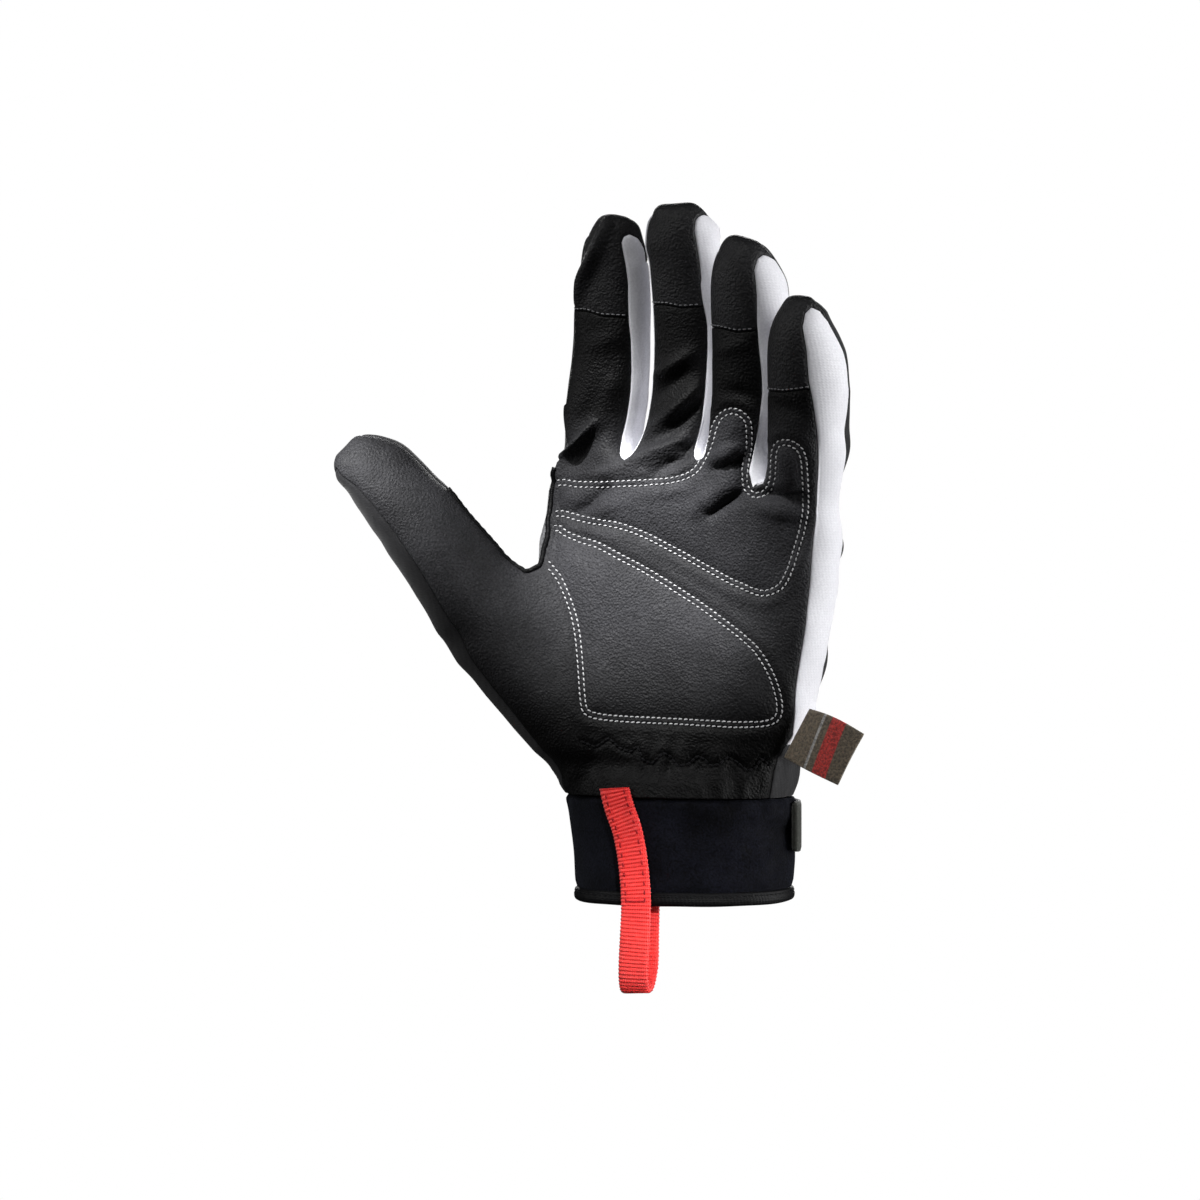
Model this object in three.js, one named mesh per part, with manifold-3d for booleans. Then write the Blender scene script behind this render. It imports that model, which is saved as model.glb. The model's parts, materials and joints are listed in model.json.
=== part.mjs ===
// Full-finger cycling glove for the left hand, palm facing -Y, fingertips up
// +Z, little finger toward +X. Units are millimetres. The origin is the
// centre of the cuff opening at the hem.
import * as THREE from 'three';
import Module from 'manifold-3d';

const wasm = await Module();
wasm.setup();
const { Manifold, Mesh: ManifoldMesh } = wasm;

// ---- driving sizes --------------------------------------------------------
const WALL = 1.5;              // leather and stretch fabric, with lining
const SEAM_GAP = 0.17;         // each panel stops this far short of a seam
const CUFF_WALL = 2.6;         // neoprene band
const PAD_GAP = 0.35;          // under the padded patches
const PAD_RISE = 1.1;          // thickness of the padded patches
const WEB_WIDTH = 10;          // pull loop webbing
const WEB_THICK = 1.5;
const LABEL_THICK = 1.0;
const STRAP_THICK = 2.2;
const WRIST_Z = 33.5;          // seam between hand and cuff
const WRIST_X = -1.5;          // centre of the wrist seam
const WRIST_A = 39;            // half width of the wrist seam
const WRIST_B = 27;            // half depth of the wrist seam
const M = 4;                   // columns over the front or back of a digit
const S = 3;                   // columns over the side of a digit
const ROWS_WEB = 9;            // rows from the wrist to the thumb web
const ROWS_PALM = 13;          // rows from the wrist to the finger webs
const SECTION_POWER = 2.25;    // roundness of the digit sections

// ---- digit sections -------------------------------------------------------
// columns: centre x, y, z, width, depth, twist in degrees (palm side turning
// toward the thumb)
const DIGITS = {
  thumb: [
    [-58.9, -15.5, 86.0, 34.0, 33.0, -35],
    [-70.2, -20.5, 102.4, 29.5, 29.5, -40],
    [-80.6, -24.5, 118.5, 27.5, 27.0, -42],
    [-90.7, -27.5, 132.0, 26.0, 23.0, -42],
    [-97.6, -29.0, 139.0, 24.4, 20.0, -42],
    [-103.3, -30.0, 143.0, 20.6, 15.5, -42],
    [-106.7, -30.5, 144.8, 14.5, 10.0, -42],
  ],
  index: [
    [-28.6, -1.0, 141.8, 24.0, 25.0, 0],
    [-25.4, -3.0, 162.0, 26.0, 24.5, 0],
    [-23.4, -5.5, 178.1, 25.6, 23.0, 0],
    [-20.9, -9.0, 194.0, 24.0, 21.5, 0],
    [-19.8, -12.0, 205.9, 22.2, 19.0, 0],
    [-19.2, -14.5, 212.8, 19.4, 15.5, 0],
    [-18.6, -16.5, 217.4, 15.6, 12.0, 0],
    [-18.4, -17.5, 219.5, 10.5, 7.5, 0],
  ],
  middle: [
    [-2.2, -3.0, 141.3, 22.5, 26.0, 2],
    [3.9, -5.0, 161.1, 25.0, 24.5, 5],
    [5.5, -7.5, 177.0, 24.6, 23.0, 6],
    [5.8, -11.0, 192.8, 24.6, 21.5, 6],
    [5.7, -14.5, 205.3, 23.6, 20.0, 6],
    [5.8, -17.5, 213.0, 21.8, 17.5, 6],
    [5.0, -19.5, 218.5, 18.8, 14.0, 6],
    [4.6, -20.5, 221.0, 14.0, 9.5, 6],
  ],
  ring: [
    [21.8, -8.0, 138.1, 21.0, 26.0, 6],
    [27.8, -14.5, 156.2, 25.0, 24.5, 12],
    [29.8, -18.5, 167.6, 25.8, 24.0, 14],
    [30.8, -22.5, 181.4, 26.0, 23.0, 15],
    [31.4, -27.0, 193.6, 25.0, 21.5, 16],
    [31.1, -30.0, 201.4, 21.5, 18.0, 16],
    [31.5, -32.0, 206.2, 17.5, 13.5, 16],
    [31.9, -33.0, 208.5, 12.0, 8.5, 16],
  ],
  little: [
    [45.2, -14.5, 132.5, 22.0, 26.0, 10],
    [49.8, -23.0, 146.5, 24.4, 24.5, 15],
    [51.5, -29.0, 158.5, 25.0, 23.5, 19],
    [52.6, -33.5, 168.4, 25.0, 22.5, 23],
    [52.3, -37.5, 177.0, 22.0, 20.0, 25],
    [52.3, -39.5, 181.8, 18.4, 16.5, 25],
    [52.5, -41.0, 185.6, 14.2, 12.2, 25],
    [52.8, -42.0, 187.7, 9.5, 7.5, 25],
  ],
};
// seam angles round a section, degrees from the palm side:
// front left, front right, back right, back left
const SEAM_ANGLES = {
  thumb: [-56, 62, 118, -115],
  index: [-65, 45, 115, -115],
  middle: [-62, 45, 115, -115],
  ring: [-60, 46, 115, -115],
  little: [-60, 44, 118, -112],
};
// rings up each digit, table place of the first ring, height of the tip seam
const RINGS = { thumb: 9, index: 11, middle: 11, ring: 10, little: 8 };
const FIRST = { thumb: 0.62, index: 0.28, middle: 0.30, ring: 0.38, little: 0.5 };
const CAP_Z = { index: 191, middle: 193.5, ring: 184.5, little: 163.5 };

// ---- palm seam lines ------------------------------------------------------
// stations: wrist, heel, mid palm, thumb web, knuckles, finger web
// columns: x and z of the front line, y of the front line, x and y of the
// back line
const LINES = {
  thumb_index: [
    [-24.5, 33.5, -21.8, -24.5, 21.8], [-23.6, 57.7, -24, -22.6, 23],
    [-32.7, 81.4, -22, -30.7, 14], [-42.9, 106, -17, -42.9, -3],
    [-42, 124, -7.5, -41, 5], null],
  index_middle: [
    [-10.3, 33.5, -26.3, -10.3, 26.3], [-11, 57, -22.5, -11, 22],
    [-12, 81, -18, -12, 18], [-13.5, 105.5, -16, -13.5, 16],
    [-14, 124, -15.5, -14, 14], [-14.2, 142, -16.5, -14.2, 9]],
  middle_ring: [
    [4.6, 33.5, -26.7, 4.6, 26.7], [6, 57, -22, 6, 22],
    [7, 81, -17.5, 7, 18.5], [8.5, 105.5, -15.5, 8.5, 16],
    [10, 124, -16, 10, 14], [11.5, 141.5, -18.5, 11.5, 7.5]],
  ring_little: [
    [20.3, 33.5, -22.4, 20.3, 22.4], [22, 57, -21.5, 22, 20],
    [25, 81, -19, 25, 16.5], [29, 105.5, -18.5, 29, 13],
    [32, 120, -20, 32.3, 8.5], [34.2, 131.5, -22.5, 35.2, 2.5]],
  little_outer: [
    [33, 33.5, -12.7, 33, 12.7], [41, 58.4, -15, 41, 10],
    [46, 81.8, -17.5, 46.6, 5], [49.5, 104.7, -20, 49.5, 1],
    [51.8, 120.9, -22, 52.4, -2], null],
};
const STATION_ROW = [0, 3, 6, 9, 11, 13];
const EDGE_BULGE = [2.5, 4, 4.5, 5, 5, 5];   // right edge of the palm
// thumb base: columns as the digit sections, heel to web
const THUMB_BASE = [
  [-36.7, -3, 50.2, 31, 46, -18],
  [-47.5, -8, 68.9, 34.5, 42, -27],
  [-59.8, -15, 92.6, 34, 34, -35],
];
const THUMB_BASE_AXIS = [-21.3, -12, 41.4];

// outline of the thumb side of the heel: z and how far x moves
const HEEL_EDGE = [[35.4, 0], [39.3, 2.6], [43.2, 3.1], [47.1, 3.0], [51, 3.2], [54.9, 2.9],
  [58.8, 2.2], [62.7, 1.2], [66.6, 0], [70.5, -1], [74.4, -2.2], [78.3, -2.8], [82.2, -2.6],
  [86.1, -1.2], [90, 0]];

// ---- outlines of the padded patches, x and z ------------------------------
const PAD_UPPER = [
  [-42.9, 135.3], [-24.6, 134.7], [-5.7, 135], [6.5, 136.6],
  [11.3, 139.9], [14.4, 145.4], [16.8, 150.7], [18.6, 154.1],
  [23.8, 156.4], [28.3, 156.1], [31.2, 153.7], [31.4, 148.9],
  [30.3, 142.9], [28.9, 137.5], [29.3, 132.7], [32.1, 130.2],
  [35.6, 131.5], [38.6, 135.2], [38.5, 139.7], [40.1, 143.5],
  [42.9, 145.8], [47.1, 145.9], [49.9, 144.7], [51.7, 142.7],
  [52.2, 139.2], [51.4, 133.7], [49.9, 127.1], [48.8, 121.5],
  [46.9, 115.3], [45, 110], [42.6, 104.2], [40.2, 100.4],
  [36.8, 98.4], [32.7, 97.8], [28.3, 99.1], [22.8, 101.3],
  [18, 103.5], [10.1, 107.4], [1.4, 112], [-6, 115.7],
  [-13.6, 118.6], [-21.8, 120.5], [-30.6, 121.8], [-39.3, 123.9]];
const PAD_LOWER = [
  [-41.8, 120.7], [-32.7, 117.3], [-25.3, 115.3], [-19.6, 112.8],
  [-12.4, 109.3], [-5.5, 105.8], [1.6, 101.7], [8.9, 97.4],
  [16.1, 92.9], [22.6, 88.5], [29.2, 83.6], [33.4, 79],
  [36.5, 73.3], [38.4, 67.5], [38.8, 62.3], [37.6, 58.5],
  [33.9, 56.8], [24.7, 56.3], [11.8, 56.8], [-1.8, 57.3],
  [-14.6, 57.7], [-23, 58.8], [-26.3, 61.7], [-27.3, 68.3],
  [-28.7, 77.5], [-30.2, 85.7], [-32.4, 92.6], [-35.5, 98.9],
  [-39.2, 104.8]];

// ---- cuff: z, centre x, half width, half depth ----------------------------
const CUFF = [
  [33.15, -1.5, 39.0, 27.2],
  [27.5, -0.7, 37.8, 26.6],
  [21.5, -1.1, 36.5, 26.2],
  [12.0, -0.3, 36.6, 26.2],
  [2.1, -0.4, 36.6, 26.2],
];
const BINDING = { z0: -2.8, z1: 1.75, a: 37.5, b: 27.2, wall: 4.4, x: -0.3 };
// the hem rises toward the little-finger side
const hemRise = (deg) => {
  const s = Math.sin((deg - 22) * Math.PI / 180);
  return 2.2 + 1.3 * s + 0.5 * Math.max(0, s) ** 4;
};

// ---- pull loop: centre line of the webbing, x, y, z -----------------------
const LOOP = [
  [-13.4, -27.9, 34.8], [-11.4, -28.6, 30], [-8.6, -29.1, 23],
  [-6.7, -29.4, 14], [-5.6, -29.8, 5], [-5.3, -30.2, -2],
  [-5.6, -30.4, -10], [-6.1, -30.2, -18], [-6.4, -29.4, -24.5],
  [-6.9, -26.3, -28.6], [-7.1, -23, -27], [-6.9, -20.4, -20],
  [-7, -19.5, -10], [-6.8, -19.5, 0], [-6.4, -20.2, 9],
];

// ---- side label and closure strap -----------------------------------------
const LABEL = [            // corners x, y, z: seam top, seam bottom, free ones
  [47.1, -13.6, 62.2], [38.6, -13.6, 46.7],
  [58.0, -19.0, 38.7], [66.4, -18.6, 54.8]];
const STRAP = { z0: 15.6, z1: 32.2, from: 84, to: 208, gap: 0.55, lift: 1.4 };

const COLOURS = {
  leather: 0x1c1c1e, cap: 0x19191b, white: 0xdadbe2, back: 0x121214,
  mesh: 0x35363a, pad: 0x232326, neoprene: 0x14151c, binding: 0x101013,
  red: 0xc3202c, olive: 0x5a4f3e, tab: 0x23241f,
};

// ---- small vector help ----------------------------------------------------
const add = (a, b, k = 1) => [a[0] + b[0] * k, a[1] + b[1] * k, a[2] + b[2] * k];
const sub = (a, b) => add(a, b, -1);
const mul = (a, k) => [a[0] * k, a[1] * k, a[2] * k];
const dot = (a, b) => a[0] * b[0] + a[1] * b[1] + a[2] * b[2];
const cross = (a, b) => [a[1] * b[2] - a[2] * b[1], a[2] * b[0] - a[0] * b[2],
  a[0] * b[1] - a[1] * b[0]];
const len = (a) => Math.hypot(a[0], a[1], a[2]);
const unit = (a) => mul(a, 1 / (len(a) || 1));

// smooth curve through the rows of a table, t counted in rows
function through(rows, t) {
  const n = rows.length;
  const i = Math.max(Math.min(Math.floor(t), n - 2), 0);
  const f = t - i, f2 = f * f, f3 = f2 * f;
  return rows[i].map((p1, c) => {
    const p2 = rows[i + 1][c];
    const p0 = i > 0 ? rows[i - 1][c] : 2 * p1 - p2;
    const p3 = i + 2 < n ? rows[i + 2][c] : 2 * p2 - p1;
    const m1 = (p2 - p0) / 2, m2 = (p3 - p1) / 2;
    return (2 * f3 - 3 * f2 + 1) * p1 + (f3 - 2 * f2 + f) * m1
      + (-2 * f3 + 3 * f2) * p2 + (f3 - f2) * m2;
  });
}

// one point of a rounded digit section
function sectionPoint(row, axis, degrees) {
  const [x, y, z, w, d, twist] = row;
  const t = unit(axis), a = twist * Math.PI / 180;
  let n = [-Math.sin(a), -Math.cos(a), 0];
  n = unit(add(n, t, -dot(n, t)));
  const side = cross(t, n), q = degrees * Math.PI / 180;
  const c = Math.cos(q), s = Math.sin(q), e = 2 / SECTION_POWER;
  const ps = Math.sign(s) * Math.abs(s) ** e, pc = Math.sign(c) * Math.abs(c) ** e;
  return add(add([x, y, z], side, ps * w / 2), n, pc * d / 2);
}

function section(row, axis, [fl, fr, br, bl]) {
  const out = [];
  for (let i = 0; i < M; i++) out.push(fl + (fr - fl) * i / M);
  for (let i = 0; i < S; i++) out.push(fr + (br - fr) * i / S);
  for (let i = 0; i < M; i++) out.push(br + (bl + 360 - br) * i / M);
  for (let i = 0; i < S; i++) out.push(bl + (fl - bl) * i / S);
  return out.map((q) => sectionPoint(row, axis, q));
}

function axisAt(rows, t) {
  const e = 0.02, top = rows.length - 1;
  return sub(through(rows, Math.min(t + e, top)).slice(0, 3),
    through(rows, Math.max(t - e, 0)).slice(0, 3));
}

// inner points of a rounded edge between two panels
function arc(p, q, tp, tq, n) {
  const out = [], a = add(p, tp), b = add(q, tq);
  for (let i = 1; i < n; i++) {
    const t = i / n, u = 1 - t;
    out.push([0, 1, 2].map((c) => u * u * u * p[c] + 3 * u * u * t * a[c]
      + 3 * u * t * t * b[c] + t * t * t * q[c]));
  }
  return out;
}

// a row of evenly numbered points through knots [[column, point], ...]
function across(knots) {
  const n = knots.length, out = [];
  const x = (i) => knots[i][0], p = (i) => knots[i][1];
  const slope = (i, j) => mul(sub(p(j), p(i)), 1 / (x(j) - x(i)));
  const tangent = (k) => {
    if (k === 0) return sub(mul(slope(0, 1), 1.5), mul(slope(0, 2), 0.5));
    if (k === n - 1) return sub(mul(slope(n - 2, n - 1), 1.5), mul(slope(n - 3, n - 1), 0.5));
    return slope(k - 1, k + 1);
  };
  for (let c = 0; c <= x(n - 1); c++) {
    let i = 0;
    while (i < n - 2 && x(i + 1) <= c) i++;
    const h = x(i + 1) - x(i), f = (c - x(i)) / h, f2 = f * f, f3 = f2 * f;
    const m1 = mul(tangent(i), h), m2 = mul(tangent(i + 1), h);
    out.push([0, 1, 2].map((k) => (2 * f3 - 3 * f2 + 1) * p(i)[k]
      + (f3 - 2 * f2 + f) * m1[k] + (-2 * f3 + 3 * f2) * p(i + 1)[k] + (f3 - f2) * m2[k]));
  }
  return out;
}

// ---- the hand-shaped net: points and quads with the panel they belong to --
function handNet() {
  const V = [], Q = [];
  const put = (p) => V.push(p) - 1;
  const quad = (a, b, c, d, zone, digit, row) => Q.push({ v: [a, b, c, d], zone, digit, row });
  const fingers = ['index', 'middle', 'ring', 'little'];
  const root = (k) => section(through(DIGITS[k], 0), axisAt(DIGITS[k], 0), SEAM_ANGLES[k]);
  const ir = root('index'), lr = root('little');
  const names = Object.keys(LINES);
  const front = names.map((n) => LINES[n].map((r) => r && [r[0], r[2], r[1]]));
  const back = names.map((n) => LINES[n].map((r) => r && [r[3], r[4], r[1]]));
  front[0][5] = ir[0]; back[0][5] = ir[2 * M + S];
  front[4][5] = lr[M]; back[4][5] = lr[M + S];
  const wrist = (deg) => {
    const q = deg * Math.PI / 180;
    return [WRIST_X + WRIST_A * Math.sin(q), -WRIST_B * Math.cos(q), WRIST_Z];
  };
  const base = (r, deg) => sectionPoint(r, THUMB_BASE_AXIS, deg);
  const thumbLines = [-56, -14, 194, -115, -95, -76].map((deg, c) => [
    wrist([-64, -50, 230, 244, 260, 280][c]), ...THUMB_BASE.map((r) => base(r, deg))]);
  const station = (j) => {
    for (let i = 0; i < 5; i++) {
      if (j <= STATION_ROW[i + 1]) {
        return i + (j - STATION_ROW[i]) / (STATION_ROW[i + 1] - STATION_ROW[i]);
      }
    }
    return 5;
  };
  const bulgeRows = EDGE_BULGE.map((v) => [v]);
  const edge = ([x, y, z]) => {
    const i = HEEL_EDGE.findIndex((r) => r[0] > z);
    if (i < 1) return [x, y, z];
    const [z0, d0] = HEEL_EDGE[i - 1], [z1, d1] = HEEL_EDGE[i];
    const w = Math.max(0, Math.min(1, (-14 - x) / 24));
    return [x + w * w * (3 - 2 * w) * (d0 + (d1 - d0) * (z - z0) / (z1 - z0)), y, z];
  };
  const rows = [];
  for (let j = 0; j <= ROWS_PALM; j++) {
    const t = station(j);
    const f = front.map((l) => through(l, t)), b = back.map((l) => through(l, t));
    const bulge = through(bulgeRows, t)[0];
    let fk, bk;
    if (j <= ROWS_WEB) {
      const tl = thumbLines.map((l) => through(l, t));
      fk = [[0, tl[0]], [2, tl[1]], ...f.map((p, k) => [M + M * k, p])];
      bk = [[0, tl[3]], [2, tl[2]], ...b.map((p, k) => [M + M * k, p])];
    } else {
      fk = f.map((p, k) => [M * k, p]);
      bk = b.map((p, k) => [M * k, p]);
    }
    const F = across(fk), B = across(bk);
    const right = arc(F[F.length - 1], B[B.length - 1], [bulge * 1.2, 2, 0],
      [bulge * 1.2, -2, 0], S);
    const left = j <= ROWS_WEB ? [4, 5].map((c) => through(thumbLines[c], t))
      : arc(B[0], F[0], [-6.5, 0, 0], [-6.5, 0, 0], S);
    rows.push([F, right, B, left].map((line) => line.map((p) => put(edge(p)))));
  }
  const last = (a) => a[a.length - 1];
  const band = (A, B, fronts, j, leftZone) => {
    for (let c = 0; c < A[0].length - 1; c++) {
      const k = fronts[Math.floor(c / M)];
      quad(A[0][c], A[0][c + 1], B[0][c + 1], B[0][c], 'palm', k, j);
      quad(A[2][c + 1], A[2][c], B[2][c], B[2][c + 1], 'back', k, j);
    }
    const ra = [last(A[0]), ...A[1], last(A[2])], rb = [last(B[0]), ...B[1], last(B[2])];
    const la = [A[2][0], ...A[3], A[0][0]], lb = [B[2][0], ...B[3], B[0][0]];
    for (let c = 0; c < S; c++) {
      quad(ra[c], ra[c + 1], rb[c + 1], rb[c], 'outer', 'palm', j);
      quad(la[c], la[c + 1], lb[c + 1], lb[c], leftZone, 'palm', j);
    }
  };
  for (let j = 0; j < ROWS_WEB; j++) {
    band(rows[j], rows[j + 1], ['thumb', ...fingers], j, 'back');
  }
  const A = rows[ROWS_WEB];
  const sag = [2, 0, -5];
  const web = arc(V[A[0][M]], V[A[2][M]], sag, sag, S).map(put);
  let prev = [A[0].slice(M), A[1], A[2].slice(M), [...web].reverse()];
  for (let j = ROWS_WEB; j < ROWS_PALM; j++) {
    band(prev, rows[j + 1], fingers, j, 'gusset');
    prev = rows[j + 1];
  }
  const R = rows[ROWS_PALM];
  const webs = [0, 1, 2, 3].map((k) => k && arc(V[R[0][M * k]], V[R[2][M * k]],
    [0, 0, k < 3 ? -6 : -5], [0, 0, k < 3 ? -6 : -5], S).map(put));
  for (const k of ['thumb', ...fingers]) {
    let ring;
    if (k === 'thumb') {
      ring = [...A[0].slice(0, M + 1), ...web, ...A[2].slice(0, M + 1).reverse(), ...A[3]];
    } else {
      const i = fingers.indexOf(k);
      ring = [...R[0].slice(M * i, M * i + M + 1), ...(i < 3 ? webs[i + 1] : R[1]),
        ...R[2].slice(M * i, M * i + M + 1).reverse(),
        ...(i > 0 ? [...webs[i]].reverse() : R[3])];
    }
    const table = DIGITS[k], n = table.length, count = RINGS[k];
    // even steps along the centre line, closer where the section shrinks
    const steps = 200, at = [], dist = [];
    for (let i = 0; i < steps; i++) at.push(FIRST[k] + (n - 1 - FIRST[k]) * i / (steps - 1));
    const mid = at.map((t) => through(table, t));
    mid.forEach((p, i) => dist.push(i ? dist[i - 1] + len(sub(p.slice(0, 3), mid[i - 1].slice(0, 3)))
      + 0.35 * Math.abs(p[3] - mid[i - 1][3]) : 0));
    let axis;
    for (let r = 0; r < count; r++) {
      const want = last(dist) * r / (count - 1);
      let i = dist.findIndex((d) => d >= want - 1e-9);
      if (i < 0) i = steps - 1;
      const i0 = Math.max(i - 1, 0), span = dist[i] - dist[i0];
      const t = span > 0 ? at[i0] + (at[i] - at[i0]) * (want - dist[i0]) / span : at[i];
      axis = axisAt(table, t);
      const cur = section(through(table, t), axis, SEAM_ANGLES[k]).map(put);
      const all = cur.length;
      for (let c = 0; c < all; c++) {
        const d = (c + 1) % all;
        const zone = c < M ? 'palm' : c < M + S ? 'right' : c < 2 * M + S ? 'back' : 'left';
        quad(ring[c], ring[d], cur[d], cur[c], zone, k, 100 + r);
      }
      ring = cur;
    }
    // rounded end
    const P = (i) => V[ring[i]], all = ring.length, up = unit(axis), g = {};
    for (let i = 0; i <= M; i++) {
      for (let j = 0; j <= S; j++) {
        const u = i / M, v = j / S;
        if (j === 0) g[[i, j]] = ring[i];
        else if (j === S) g[[i, j]] = ring[2 * M + S - i];
        else if (i === M) g[[i, j]] = ring[M + j];
        else if (i === 0) g[[i, j]] = ring[(all - j) % all];
        else {
          const p = [0, 1, 2].map((c) => (1 - v) * P(i)[c] + v * P(2 * M + S - i)[c]
            + (1 - u) * P(all - j)[c] + u * P(M + j)[c]
            - ((1 - u) * (1 - v) * P(0)[c] + u * (1 - v) * P(M)[c]
              + (1 - u) * v * P(2 * M + S)[c] + u * v * P(M + S)[c]));
          g[[i, j]] = put(add(p, up, 1.6 * (1 - (2 * u - 1) ** 2) * (1 - (2 * v - 1) ** 2)));
        }
      }
    }
    for (let i = 0; i < M; i++) {
      for (let j = 0; j < S; j++) {
        quad(g[[i, j]], g[[i + 1, j]], g[[i + 1, j + 1]], g[[i, j + 1]], 'tip', k, j);
      }
    }
  }
  return { V, Q };
}

// ---- which panel a quad is sewn into --------------------------------------
function panelOf(q, V, capRow) {
  const { zone, digit, row } = q;
  const nearTip = row >= 100 && row >= 100 + RINGS[digit] - 1;
  const back = row >= 100 || zone === 'tip' ? `back_${digit}` : 'back_panel';
  if (zone === 'tip') return digit === 'thumb' ? (row < 2 ? 'palm_panel' : back) : `tip_cap_${digit}`;
  if (zone === 'palm') return row >= 100 && row >= (capRow[digit] ?? 999) ? `tip_cap_${digit}` : 'palm_panel';
  if (zone === 'outer') return row < 2 ? 'back_panel' : 'outer_side_panel';
  if (zone === 'gusset') return 'thumb_gusset';
  if (zone === 'back') return back;
  if (digit !== 'thumb' && nearTip) return `tip_cap_${digit}`;
  if (zone === 'right') {
    if (digit === 'thumb') return row < 105 ? 'thumb_gusset' : back;
    return { index: 'fourchette_index_middle', middle: 'fourchette_middle_ring',
      ring: 'fourchette_ring_little', little: 'outer_side_panel' }[digit];
  }
  if (digit === 'thumb') return back;
  if (digit === 'index') return row < 101 ? 'thumb_gusset' : back;
  return { middle: 'fourchette_index_middle', ring: 'fourchette_middle_ring',
    little: 'fourchette_ring_little' }[digit];
}

function normals(V, Q) {
  const N = V.map(() => [0, 0, 0]);
  for (const { v } of Q) {
    const n = cross(sub(V[v[2]], V[v[0]]), sub(V[v[3]], V[v[1]]));
    for (const i of v) N[i] = add(N[i], n);
  }
  return N.map(unit);
}

// a sewn panel as a closed body between two offsets of the net
function panelBody(V, N, quads, outOffset, inOffset, gap) {
  const edges = new Map();
  for (const { v } of quads) for (let i = 0; i < 4; i++) edges.set(`${v[i]},${v[(i + 1) % 4]}`, [v[i], v[(i + 1) % 4]]);
  const rim = [...edges.values()].filter(([a, b]) => !edges.has(`${b},${a}`));
  const pull = new Map();
  for (const [a, b] of rim) {
    for (const i of [a, b]) {
      const d = unit(cross(N[i], unit(sub(V[b], V[a]))));
      pull.set(i, add(pull.get(i) ?? [0, 0, 0], d));
    }
  }
  const index = new Map(), pos = [];
  const place = (i) => {
    if (!index.has(i)) {
      let shift = [0, 0, 0];
      if (pull.has(i)) {
        const p = pull.get(i), k = len(p);
        if (k > 1e-6) shift = mul(unit(p), gap * Math.min(2 / Math.max(k, 0.5), 2.2));
      }
      const p = add(V[i], shift);
      index.set(i, pos.length / 2);
      pos.push(add(p, N[i], outOffset), add(p, N[i], inOffset));
    }
    return index.get(i);
  };
  const tri = [];
  for (const { v } of quads) {
    const [a, b, c, d] = v.map(place).map((k) => 2 * k);
    const short = len(sub(V[v[0]], V[v[2]])) <= len(sub(V[v[1]], V[v[3]]));
    const cut = short ? [[a, b, c], [a, c, d]] : [[a, b, d], [b, c, d]];
    for (const [x, y, z] of cut) tri.push([x, y, z], [x + 1, z + 1, y + 1]);
  }
  for (const [p, q] of rim) {
    const a = 2 * place(p), b = 2 * place(q);
    tri.push([b, a, a + 1], [b, a + 1, b + 1]);
  }
  return { pos, tri };
}

function toMesh({ pos, tri }, name, colour) {
  const g = new THREE.BufferGeometry();
  g.setAttribute('position', new THREE.Float32BufferAttribute(pos.flat(), 3));
  g.setIndex(tri.flat());
  g.computeVertexNormals();
  const mesh = new THREE.Mesh(g, new THREE.MeshStandardMaterial({ color: colour, roughness: 0.8 }));
  mesh.name = name;
  return mesh;
}
const toManifold = ({ pos, tri }) => new Manifold(new ManifoldMesh({
  numProp: 3, vertProperties: Float32Array.from(pos.flat()), triVerts: Uint32Array.from(tri.flat()) }));
function fromManifold(m) {
  const g = m.getMesh(), pos = [], tri = [];
  for (let i = 0; i < g.numVert; i++) pos.push([...g.vertProperties.slice(i * g.numProp, i * g.numProp + 3)]);
  for (let i = 0; i < g.numTri; i++) tri.push([...g.triVerts.slice(i * 3, i * 3 + 3)]);
  return { pos, tri };
}

// a straight prism along Y over a smooth closed outline in x and z
function outlinePrism(points, y0, y1, each) {
  const n = points.length, ring = [];
  const closed = [points[n - 1], ...points, points[0], points[1]];
  for (let i = 0; i < n; i++) {
    for (let s = 0; s < each; s++) ring.push(through(closed, i + 1 + s / each));
  }
  const flat = ring.map(([x, z]) => new THREE.Vector2(x, z));
  if (THREE.ShapeUtils.isClockWise(flat)) flat.reverse();
  const faces = THREE.ShapeUtils.triangulateShape(flat, []);
  const k = flat.length;
  const pos = [...flat.map((p) => [p.x, y0, p.y]), ...flat.map((p) => [p.x, y1, p.y])];
  const tri = [];
  for (const [a, b, c] of faces) tri.push([a, b, c], [a + k, c + k, b + k]);
  for (let i = 0; i < k; i++) {
    const j = (i + 1) % k;
    tri.push([j, i, i + k], [j, i + k, j + k]);
  }
  return { pos, tri };
}

// rings of points joined into a closed tube (profile loops round a path)
function loopBody(rings, capped) {
  const n = rings[0].length, m = rings.length, pos = rings.flat(), tri = [];
  const rows = capped ? m - 1 : m;
  for (let i = 0; i < rows; i++) {
    for (let j = 0; j < n; j++) {
      const a = i * n + j, b = i * n + (j + 1) % n, c = ((i + 1) % m) * n + (j + 1) % n, d = ((i + 1) % m) * n + j;
      tri.push([a, b, c], [a, c, d]);
    }
  }
  if (capped) {
    for (let j = 1; j < n - 1; j++) {
      tri.push([0, j + 1, j], [(m - 1) * n, (m - 1) * n + j, (m - 1) * n + j + 1]);
    }
  }
  return { pos, tri };
}
const outward = (body) => {
  let v = 0;
  for (const [a, b, c] of body.tri) v += dot(body.pos[a], cross(body.pos[b], body.pos[c]));
  if (v < 0) body.tri = body.tri.map(([a, b, c]) => [a, c, b]);
  return body;
};

// elliptical point round the cuff, degrees from the palm side toward +X
const round = (x, a, b, deg, z) => {
  const q = deg * Math.PI / 180;
  return [x + a * Math.sin(q), -b * Math.cos(q), z];
};

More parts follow.
